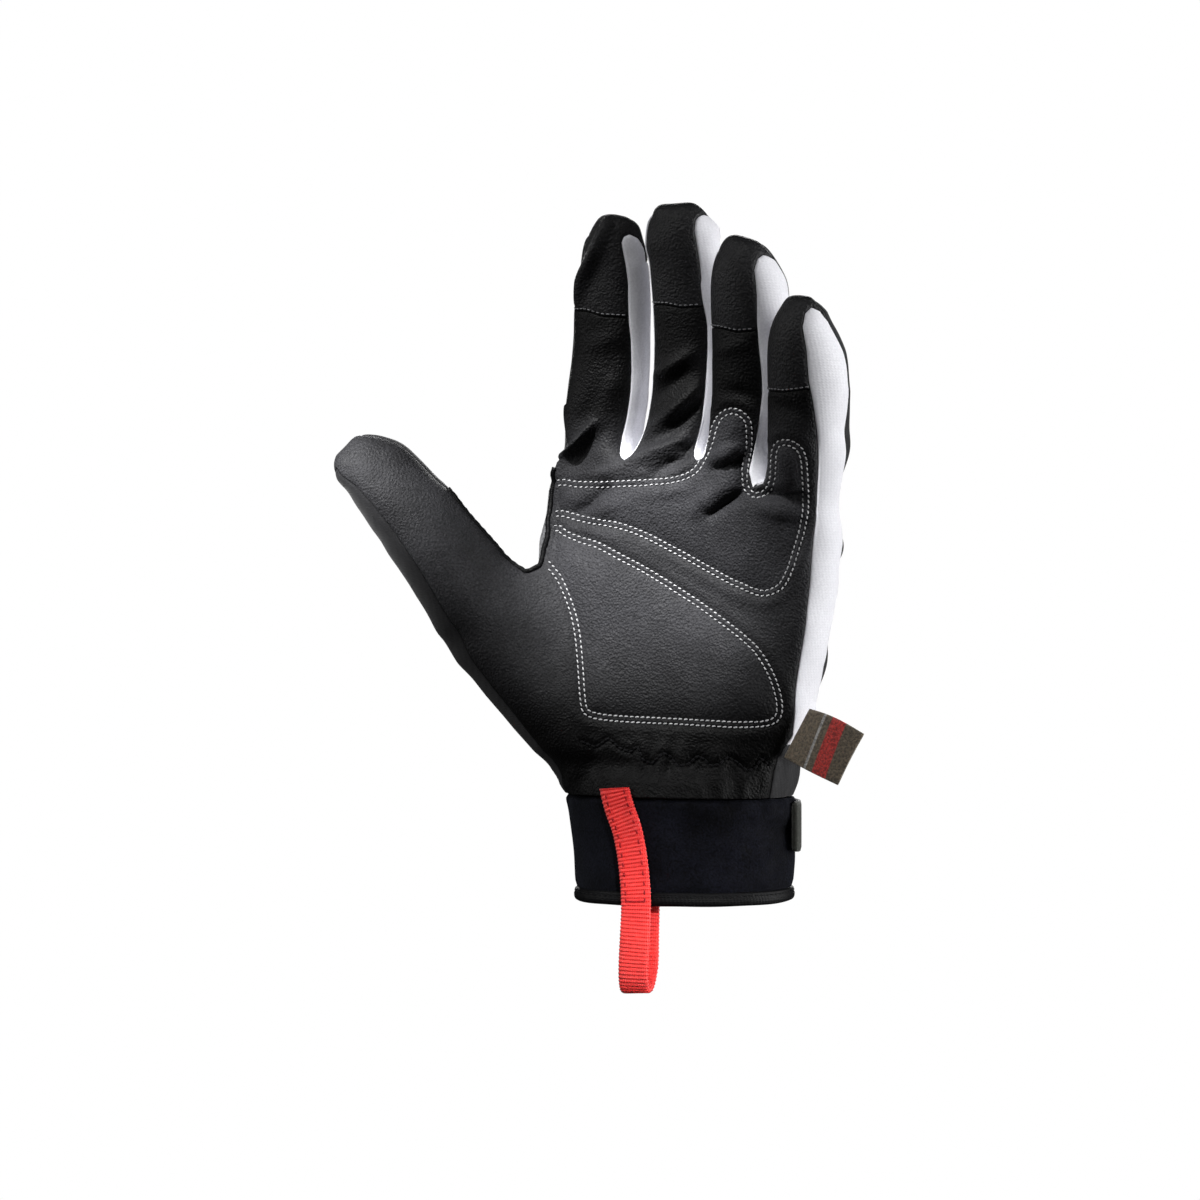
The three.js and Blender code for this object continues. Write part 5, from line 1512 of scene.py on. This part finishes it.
deps = bpy.context.evaluated_depsgraph_get()
rows = []
PITCH, LEN = 1.76, 1.22
for name, ring in (("pad_upper", ring_up), ("pad_lower", ring_lo)):
    t = BVHTree.FromObject(pads[name], deps)
    wide = ring.copy()
    wide[(wide[:, 0] < -41) & (wide[:, 1] > 115), 0] -= 3.0
    wide[(wide[:, 0] < -43.7) & (wide[:, 1] < 108.5)] += [-1.8, 2.7]
    for ri, d in enumerate((0.0, 1.65)):
        Q = resample(wide, 0.5, closed=True)
        if d:
            Q, keep = row_offset(Q, d)
            Q = Q[keep]
        # start the run at the open edge beside the thumb
        start = int(np.argmin(Q[:, 0]))
        Q = np.roll(Q, -start, 0)
        line = resample(Q, PITCH / 2)
        C, T, Nn = [], [], []
        for i in range(ri % 2, len(line) - 1, 2):
            a, b = line[i], line[min(i + 1, len(line) - 1)]
            if a[0] < -42.0 and abs(b[0] - a[0]) < 0.42 * abs(b[1] - a[1]):
                continue
            if a[0] < -40.5 and (126.5 < a[1] < 132.6 if name == "pad_upper" else 109.5 < a[1] < 116.8):
                continue
            pa, na = surface_on(t, *a)
            pb, nb_ = surface_on(t, *b)
            if pa is None or pb is None or np.linalg.norm(pa - pb) > 2.5:
                continue
            n = na + nb_
            n /= np.linalg.norm(n)
            tt = pb - pa
            tt /= np.linalg.norm(tt)
            side = np.cross(n, tt)
            C.append((pa + pb) / 2)
            T.append(tt + side * 0.20)
            Nn.append(n)
        rows.append((C, T, Nn))
add_stitches("pad_stitches", rows, MAT["thread"], LEN, 0.235, 0.14, lift=0.05)

# seam chains on the fine surface
def seam_chain(pa, pb, zmin=-1e9, zmax=1e9, test=None):
    """Connected runs of fine vertices on the seam between two panels."""
    ea = {}
    for pid, store in ((pa, 0), (pb, 1)):
        for f in F[PID == pid]:
            for k in range(4):
                a, b = int(f[k]), int(f[(k + 1) % 4])
                ea.setdefault((min(a, b), max(a, b)), set()).add(store)
    edges = [e for e, s in ea.items() if len(s) == 2]
    if test is not None:
        edges = [e for e in edges if test(P[e[0]]) and test(P[e[1]])]
    adj = {}
    for a, b in edges:
        adj.setdefault(a, []).append(b)
        adj.setdefault(b, []).append(a)
    chains, seen = [], set()
    starts = [v for v in adj if len(adj[v]) == 1] + list(adj)
    for s in starts:
        if s in seen:
            continue
        run, cur = [s], s
        seen.add(s)
        while True:
            nxt = [v for v in adj[cur] if v not in seen]
            if not nxt:
                break
            cur = nxt[0]
            seen.add(cur)
            run.append(cur)
        if len(run) > 3:
            chains.append(run)
    return chains


def stitch_run(points, normals, pitch, length, shift=0.0, toward=None, phase=0):
    pts = np.array(points)
    d = np.concatenate([[0], np.cumsum(np.linalg.norm(np.diff(pts, axis=0), axis=1))])
    n = int(d[-1] / pitch)
    C, T, Nn = [], [], []
    for i in range(n):
        s0 = (i + 0.5) * pitch
        p = np.array([np.interp(s0, d, pts[:, k]) for k in range(3)])
        q = np.array([np.interp(s0 + 0.6, d, pts[:, k]) for k in range(3)])
        o = np.array([np.interp(s0 - 0.6, d, pts[:, k]) for k in range(3)])
        nn = np.array([np.interp(s0, d, np.array(normals)[:, k]) for k in range(3)])
        C.append(p)
        T.append(q - o)
        Nn.append(nn / np.linalg.norm(nn))
    return C, T, Nn


def near_surface(p):
    loc, nrm, idx, dist = bvh_all.find_nearest(Vector(p))
    f = F[idx]
    w = 1 / (np.linalg.norm(P[f] - np.array(loc), axis=1) + 0.05)
    n = (Nf[f] * w[:, None]).sum(0)
    return np.array(loc), n / np.linalg.norm(n)


# short stitches along the cap seams, just below the seam on the palm leather
rows = []
for cap in (7, 8, 9, 10):
    for run in seam_chain(0, cap):
        pts = P[run].copy()
        pts[:, 2] += 0.95
        if pts[0, 0] > pts[-1, 0]:
            pts = pts[::-1]
        res = [near_surface(p) for p in resample(pts, 0.6)]
        C, T, Nn = stitch_run([r[0] for r in res], [r[1] for r in res], 1.7, 1.2)
        rows.append((C, T, Nn))
add_stitches("cap_stitches", rows, MAT["thread_grey"], 1.15, 0.22, 0.14, lift=0.06)

# zigzag over the wrist elastic
pts = resample(ZIG, 0.7)
pn = [drop(x, z) for x, z in pts]
pn = [q for q in pn if q[0] is not None]
C, T, Nn = stitch_run([q[0] for q in pn], [q[1] for q in pn], 1.9, 1.5)
add_stitches("elastic_stitches", [(C, T, Nn)], MAT["thread_black"], 1.75, 0.42, 0.22, lift=0.10)

# black piping between the leather and the gusset
pip_v, pip_f = [], []
for run in seam_chain(0, 6):
    pts = resample(P[run] + Nf[run] * 0.10, 0.9)
    if len(pts) < 6:
        continue
    pts = pts + 0.10 * np.sin(np.arange(len(pts)) * 1.9)[:, None] * np.array([0.6, 0.2, 0.7])
    v, f = tube(pts, 0.95, 8)
    o = len(pip_v)
    pip_v += v
    pip_f += [tuple(o + i for i in q) for q in f]
ob = mesh_object("gusset_piping", np.array(pip_v) * MM, pip_f, MAT["binding"])
declare(ob, None, None)

# ---- cuff, binding, loop, label, strap --------------------------------------
def hem_rise(deg):
    s = math.sin(math.radians(deg - 22))
    return 2.0 + 0.5 * s + 0.6 * max(0, s) ** 4


def round_pt(x, a, b, deg, z):
    q = math.radians(deg)
    return A3([x + a * math.sin(q), -b * math.cos(q), z])


around = 120 if QUICK else 260


def lathe(name, profile, mat, wobble=None):
    """profile(deg) gives a closed list of points round the section."""
    rings = [profile(360 * k / around) for k in range(around)]
    n = len(rings[0])
    V = np.array(rings).reshape(-1, 3)
    Fs = []
    for i in range(around):
        j = (i + 1) % around
        for k in range(n):
            k2 = (k + 1) % n
            Fs.append((i * n + k, j * n + k, j * n + k2, i * n + k2))
    # orientation
    v = V
    vol = 0.0
    for a, b, c, d in Fs[:: max(1, len(Fs) // 4000)]:
        vol += np.dot(v[a] - [0, 0, 15], np.cross(v[b] - [0, 0, 15], v[c] - [0, 0, 15]))
    if vol < 0:
        Fs = [f[::-1] for f in Fs]
    return mesh_object(name, V * MM, Fs, mat), V


UP = 18 if QUICK else 34


def cuff_profile(deg):
    q = math.radians(deg)
    outer, inner = [], []
    for i in range(UP + 1):
        t = i / UP
        z, x, a, b = through(CUFF, 4 * (1 - t))
        # rolled edges at both ends
        e = 0.7 * math.exp(-(t * (31 / 1.2)) ** 2) + 0.9 * math.exp(-((1 - t) * (31 / 1.3)) ** 2)
        w = 0.30 * math.sin(3 * q + 0.5) * math.sin(math.pi * t) + 0.25 * math.sin(7 * q + 5 * t) * math.sin(math.pi * t)
        w += 0.25 * math.sin(19 * q + 1.7 * math.sin(5 * q)) * math.exp(-((1 - t) * 5) ** 2)
        w += 0.7 * math.sin(math.pi * t) ** 0.7 - 0.3
        z += hem_rise(deg) * (1 - (z - 2.1) / 31.05) - 1.6 * max(0, 1 - 9 * t)
        x = x - 0.5 * max(0, math.cos(q + 1.2)) * math.sin(math.pi * t) ** 0.5
        outer.append(round_pt(x, a - e + w, b - e + w, deg, z))
        inner.append(round_pt(x, a - 2.5 + 0.5 * e + 0.4 * w, b - 2.5 + 0.5 * e + 0.4 * w, deg, z))
    return outer + inner[::-1]


ob, _ = lathe("cuff_neoprene", cuff_profile, MAT["neoprene"])
declare(ob, "cuff", "neoprene")
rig.sheet(ob, flat=(0.2, 0.036), held="stretched", area=0.0068)


def binding_profile(deg):
    q = math.radians(deg)
    pts = []
    zc, h = (BIND["z0"] + BIND["z1"]) / 2, (BIND["z1"] - BIND["z0"]) / 2
    dz = 2 * hem_rise(deg) + 0.35 * math.sin(2 * q + 1.0) + 0.12 * math.sin(9 * q)
    n = 26
    for i in range(n):
        t = 2 * math.pi * i / n
        c, s = math.cos(t), math.sin(t)
        r = -BIND["wall"] / 2 + BIND["wall"] / 2 * math.copysign(abs(c) ** 0.7, c)
        zz = h * math.copysign(abs(s) ** 0.7, s)
        # a shallow stitched groove below the upper edge
        if c > 0.2:
            r -= 0.42 * math.exp(-((zz - 1.0) / 0.30) ** 2)
        pts.append(round_pt(BIND["x"], BIND["a"] + r, BIND["b"] + r, deg, zc + zz + dz * 0.5))
    return pts


ob, _ = lathe("cuff_binding_tape", binding_profile, MAT["binding"])
declare(ob, "cuff_binding", "binding")
# stitches along the binding
C, T, Nn = [], [], []
for k in range(96):
    deg = 360 * k / 96
    q = math.radians(deg)
    zc = (BIND["z0"] + BIND["z1"]) / 2
    dz = 2 * hem_rise(deg) + 0.35 * math.sin(2 * q + 1.0) + 0.12 * math.sin(9 * q)
    p = round_pt(BIND["x"], BIND["a"] - 0.42, BIND["b"] - 0.42, deg, zc + 0.95 + dz * 0.5)
    p2 = round_pt(BIND["x"], BIND["a"] - 0.42, BIND["b"] - 0.42, deg + 1, zc + 0.95 + dz * 0.5)
    C.append(p)
    T.append(p2 - p)
    Nn.append(A3([math.sin(q), -math.cos(q), 0]))
add_stitches("binding_stitches", [(C, T, Nn)], MAT["thread_black"], 1.5, 0.2, 0.12)


def ribbon(name, path, width_dir, width, thick, mat, pitch=None, depth=0.0, steps=400, cols=14, edge=0.0):
    n = len(path)
    V = []
    length = 0.0
    last = None
    sec = []
    for i in range(steps + 1):
        t = (n - 1) * i / steps
        p = through(path, t)
        tan = axis_at(path, t)
        tan /= np.linalg.norm(tan)
        w = A3(width_dir(t))
        w = w - tan * w.dot(tan) * min(1.0, 0.25 + t / 0.9)
        w /= np.linalg.norm(w)
        nn = np.cross(tan, w)
        nn /= np.linalg.norm(nn)
        if last is not None:
            length += np.linalg.norm(p - last)
        last = p
        rib = depth * (0.5 + 0.5 * math.cos(2 * math.pi * length / pitch)) ** 0.8 if pitch else 0
        ring = []
        for side in (1, -1):
            for k in range(cols + 1):
                u = (-1 + 2 * k / cols) * side
                flat_ = 1 - abs(u) ** 8 * 0.45
                r = rib if abs(u) < 0.86 else rib * 0.35 + 0.06
                ring.append(p + w * u * (width / 2 + 0.08 * math.cos(2 * math.pi * length / (pitch or 1)))
                            + nn * side * (thick / 2 * flat_ - depth + r))
        sec.append(ring)
    m = len(sec[0])
    V = np.array(sec).reshape(-1, 3)
    Fs = []
    for i in range(steps):
        for k in range(m):
            k2 = (k + 1) % m
            Fs.append((i * m + k, i * m + k2, (i + 1) * m + k2, (i + 1) * m + k))
    Fs.append(tuple(range(m))[::-1])
    Fs.append(tuple(steps * m + k for k in range(m)))
    mid = V.mean(0)
    return mesh_object(name, V * MM, Fs, mat), length


def loop_dir(t):
    return [1, 0.13, (0.33 - 0.07 * t) * min(1, t / 0.7) if t < 4 else 0.04]


ob, loop_len = ribbon("pull_loop_webbing", LOOP, loop_dir, 9.6, 1.7, MAT["webbing"], pitch=1.22, depth=0.36,
                      steps=520 if QUICK else 1000, cols=12)
bm_fix = ob
declare(ob, "pull_loop", "webbing")

# dark stitches on the loop: two rows and a cross row
def loop_frame(t):
    p = through(LOOP, t)
    tan = axis_at(LOOP, t)
    tan /= np.linalg.norm(tan)
    w = A3(loop_dir(t))
    w = w - tan * w.dot(tan)
    w /= np.linalg.norm(w)
    nn = np.cross(tan, w)
    if nn[1] > 0:
        nn = -nn
    return p, tan, w, nn


C, T, Nn = [], [], []
for k in range(13):
    t = 0.35 + 4.15 * k / 12
    p, tan, w, nn = loop_frame(t)
    for side in (-1, 1):
        C.append(p + w * side * 3.1 + nn * 0.74)
        T.append(tan)
        Nn.append(nn)
for k in range(5):
    p, tan, w, nn = loop_frame(4.55)
    C.append(p + w * (-2.6 + 1.3 * k) + nn * 0.74)
    T.append(w)
    Nn.append(nn)
add_stitches("loop_stitches", [(C, T, Nn)], MAT["thread_red"], 1.5, 0.30, 0.14)


def label_object():
    p, q, r, s = [A3(v) for v in LABEL]
    n = np.cross(s - p, q - p)
    n /= np.linalg.norm(n)
    nu, nv, V = 40, 40, []
    for side in (1, -1):
        for i in range(nu + 1):
            t = i / nu
            for j in range(nv + 1):
                v = j / nv
                a = p + (s - p) * t
                b = q + (r - q) * t
                pt = a + (b - a) * v + A3([0.3, 0, 1.0]) * math.sin(math.pi * t) * (1 - v)
                bow = 1.6 * math.sin(math.pi * t) + 0.5 * math.sin(math.pi * v) * t
                edge = min(v, 1 - v) * 17
                half = 0.42 * (1 - 0.5 * math.exp(-(edge / 0.5) ** 2)) * (1 - 0.35 * math.exp(-((1 - t) * 19 / 0.8) ** 2))
                V.append(pt - n * bow + n * side * half)
    m = nv + 1
    o = (nu + 1) * m
    Fs = []
    for i in range(nu):
        for j in range(nv):
            a = i * m + j
            Fs.append((a, a + 1, a + m + 1, a + m))
            Fs.append((o + a, o + a + m, o + a + m + 1, o + a + 1))
    for i in range(nu):
        a, b = i * m, (i + 1) * m
        Fs.append((a, b, o + b, o + a))
        a, b = i * m + nv, (i + 1) * m + nv
        Fs.append((b, a, o + a, o + b))
    for j in range(nv):
        a, b = j, j + 1
        Fs.append((b, a, o + a, o + b))
        a, b = nu * m + j, nu * m + j + 1
        Fs.append((a, b, o + b, o + a))
    return mesh_object("side_label_tape", np.array(V) * MM, Fs, MAT["label"])


ob = label_object()
declare(ob, "side_label", "label")
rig.sheet(ob, flat=(0.018, 0.020), held="hung", area=0.00034)


def strap_object():
    nu, nv = 90, 14
    z0, z1 = STRAP["z0"], STRAP["z1"]
    V = []
    for side in (1, -1):
        for i in range(nu + 1):
            t = i / nu
            deg = STRAP["start"] + (STRAP["end"] - STRAP["start"]) * t
            off = STRAP["gap"] + STRAP["lift"] * max(0, 1 - t / 0.22) ** 2 + 0.35
            end = max(0, 0.05 - t) / 0.05 + max(0, t - 0.95) / 0.05
            for j in range(nv + 1):
                v = j / nv
                inset = 0.35 * end ** 2
                z = z0 + inset + (z1 - z0 - 2 * inset) * v
                row = next(i_ for i_, r in enumerate(CUFF) if r[0] <= z)
                hi_, lo_ = CUFF[row - 1], CUFF[row]
                f = (z - lo_[0]) / (hi_[0] - lo_[0])
                _, x, a, b = [l + (h - l) * f for l, h in zip(lo_, hi_)]
                edge = min(v, 1 - v) * 15
                th = 1.9 * (1 - 0.35 * math.exp(-(edge / 0.6) ** 2))
                th -= 0.25 * math.exp(-((edge - 1.6) / 0.35) ** 2)
                extra = off + 1.0 + side * th / 2
                V.append(round_pt(-1.5, 37.6 + extra, 26.6 + extra, deg, z))
    m = nv + 1
    o = (nu + 1) * m
    Fs = []
    for i in range(nu):
        for j in range(nv):
            a = i * m + j
            Fs.append((a, a + m, a + m + 1, a + 1))
            Fs.append((o + a, o + a + 1, o + a + m + 1, o + a + m))
    for i in range(nu):
        a, b = i * m, (i + 1) * m
        Fs.append((b, a, o + a, o + b))
        a, b = i * m + nv, (i + 1) * m + nv
        Fs.append((a, b, o + b, o + a))
    for j in range(nv):
        a, b = j, j + 1
        Fs.append((a, b, o + b, o + a))
        a, b = nu * m + j, nu * m + j + 1
        Fs.append((b, a, o + a, o + b))
    return mesh_object("closure_strap_tape", np.array(V) * MM, Fs, MAT["strap"])


ob = strap_object()
declare(ob, "closure_strap", "strap")
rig.sheet(ob, flat=(0.085, 0.0155), held="stretched", area=0.0012)

# make every closed mesh face outward
for o in list(SCENE.objects):
    if o.type == "MESH" and "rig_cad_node" not in o and o.data.users and o.name.endswith(
            ("webbing", "tape", "neoprene", "piping", "stitches")):
        import bmesh
        bm = bmesh.new()
        bm.from_mesh(o.data)
        bmesh.ops.recalc_face_normals(bm, faces=bm.faces)
        bm.to_mesh(o.data)
        bm.free()

# ---- floor, backdrop, light -------------------------------------------------
def stage_mat(name, value):
    m = bpy.data.materials.new(name)
    m.use_nodes = True
    nt = m.node_tree
    nt.nodes.clear()
    out = nt.nodes.new("ShaderNodeOutputMaterial")
    em = nt.nodes.new("ShaderNodeEmission")
    em.inputs["Color"].default_value = (1, 1, 1, 1)
    em.inputs["Strength"].default_value = value
    nt.links.new(em.outputs[0], out.inputs[0])
    return m


FLOOR_Z = -0.036
prof = [(-2.2, 0.0), (1.0, 0.0)] + [(1.0 + 0.5 * math.sin(a), 0.5 - 0.5 * math.cos(a)) for a in
                                    np.linspace(0.1, math.pi / 2, 12)] + [(1.5, 3.0)]
V, Fs = [], []
for k, (u, h) in enumerate(prof):
    for s in (-3.5, 3.5):
        # u runs away from the camera, s sideways
        V.append((s * CA - u * SA, s * SA + u * CA, FLOOR_Z + h))
for k in range(len(prof) - 1):
    Fs.append((2 * k, 2 * k + 1, 2 * k + 3, 2 * k + 2))
floor = mesh_object("floor", V, Fs, stage_mat("floor_white", 1.0))
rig.stage(floor)
for ray in ("visible_diffuse", "visible_glossy", "visible_transmission", "visible_shadow"):
    setattr(floor, ray, False)

world = bpy.data.worlds.new("world")
SCENE.world = world
world.use_nodes = True
world.node_tree.nodes["Background"].inputs[0].default_value = (1, 1, 1, 1)
# a pale backdrop to look at, and only a little light from it
wn = world.node_tree
path = wn.nodes.new("ShaderNodeLightPath")
amount = wn.nodes.new("ShaderNodeMath")
amount.operation = "MULTIPLY_ADD"
amount.inputs[1].default_value = 0.97
amount.inputs[2].default_value = 0.03
wn.links.new(path.outputs["Is Camera Ray"], amount.inputs[0])
wn.links.new(amount.outputs[0], wn.nodes["Background"].inputs[1])
SCENE.view_settings.view_transform = "Standard"


def area_light(name, loc, target, size, power, size_y=None, color=(1, 1, 1)):
    d = bpy.data.lights.new(name, "AREA")
    d.energy = power
    d.size = size
    d.color = color
    if size_y:
        d.shape = "RECTANGLE"
        d.size_y = size_y
    o = bpy.data.objects.new(name, d)
    SCENE.collection.objects.link(o)
    o.location = loc
    v = Vector(target) - Vector(loc)
    o.rotation_euler = v.to_track_quat("-Z", "Y").to_euler()
    return o


def at_view(u, s, z):
    """A place u metres toward the camera, s metres to its right, z up."""
    return (s * CA + u * SA, s * SA - u * CA, z)


mid = (0, 0, 0.1)
def spot_light(name, loc, target, power, degrees, soft):
    d = bpy.data.lights.new(name, "SPOT")
    d.energy = power
    d.spot_size = math.radians(degrees)
    d.spot_blend = 1.0
    d.shadow_soft_size = soft
    o = bpy.data.objects.new(name, d)
    SCENE.collection.objects.link(o)
    o.location = loc
    o.rotation_euler = (Vector(target) - Vector(loc)).to_track_quat("-Z", "Y").to_euler()
    return o


# a pool of light over the palm, and soft light from the sides
spot_light("pool", at_view(0.66, -0.42, 0.98), at_view(0.012, -0.016, 0.116), 160, 5.7, 0.018)
spot_light("thumb_tip", at_view(0.60, -0.75, 0.75), at_view(0.0, -0.110, 0.144), 168, 3.2, 0.018)
spot_light("loop", at_view(0.90, 0.12, 0.34), at_view(0.027, -0.0145, -0.004), 64, 4.4, 0.03)
area_light("key", at_view(0.66, -0.42, 0.98), (0, 0, 0.09), 0.5, 5.0, 0.4)
area_light("side_right", at_view(0.30, 1.00, 0.10), mid, 0.7, 16.5, 0.9)
area_light("rim_left", at_view(0.06, -1.00, 0.40), mid, 0.5, 3.6, 0.8)
area_light("back", at_view(-1.0, 0.05, 0.40), mid, 0.7, 12, 0.7)

with open("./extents.json", "w") as fh:
    json.dump([[list(map(float, v)) for v in CAD_BOX], [list(map(float, v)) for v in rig.bounds()]], fh)
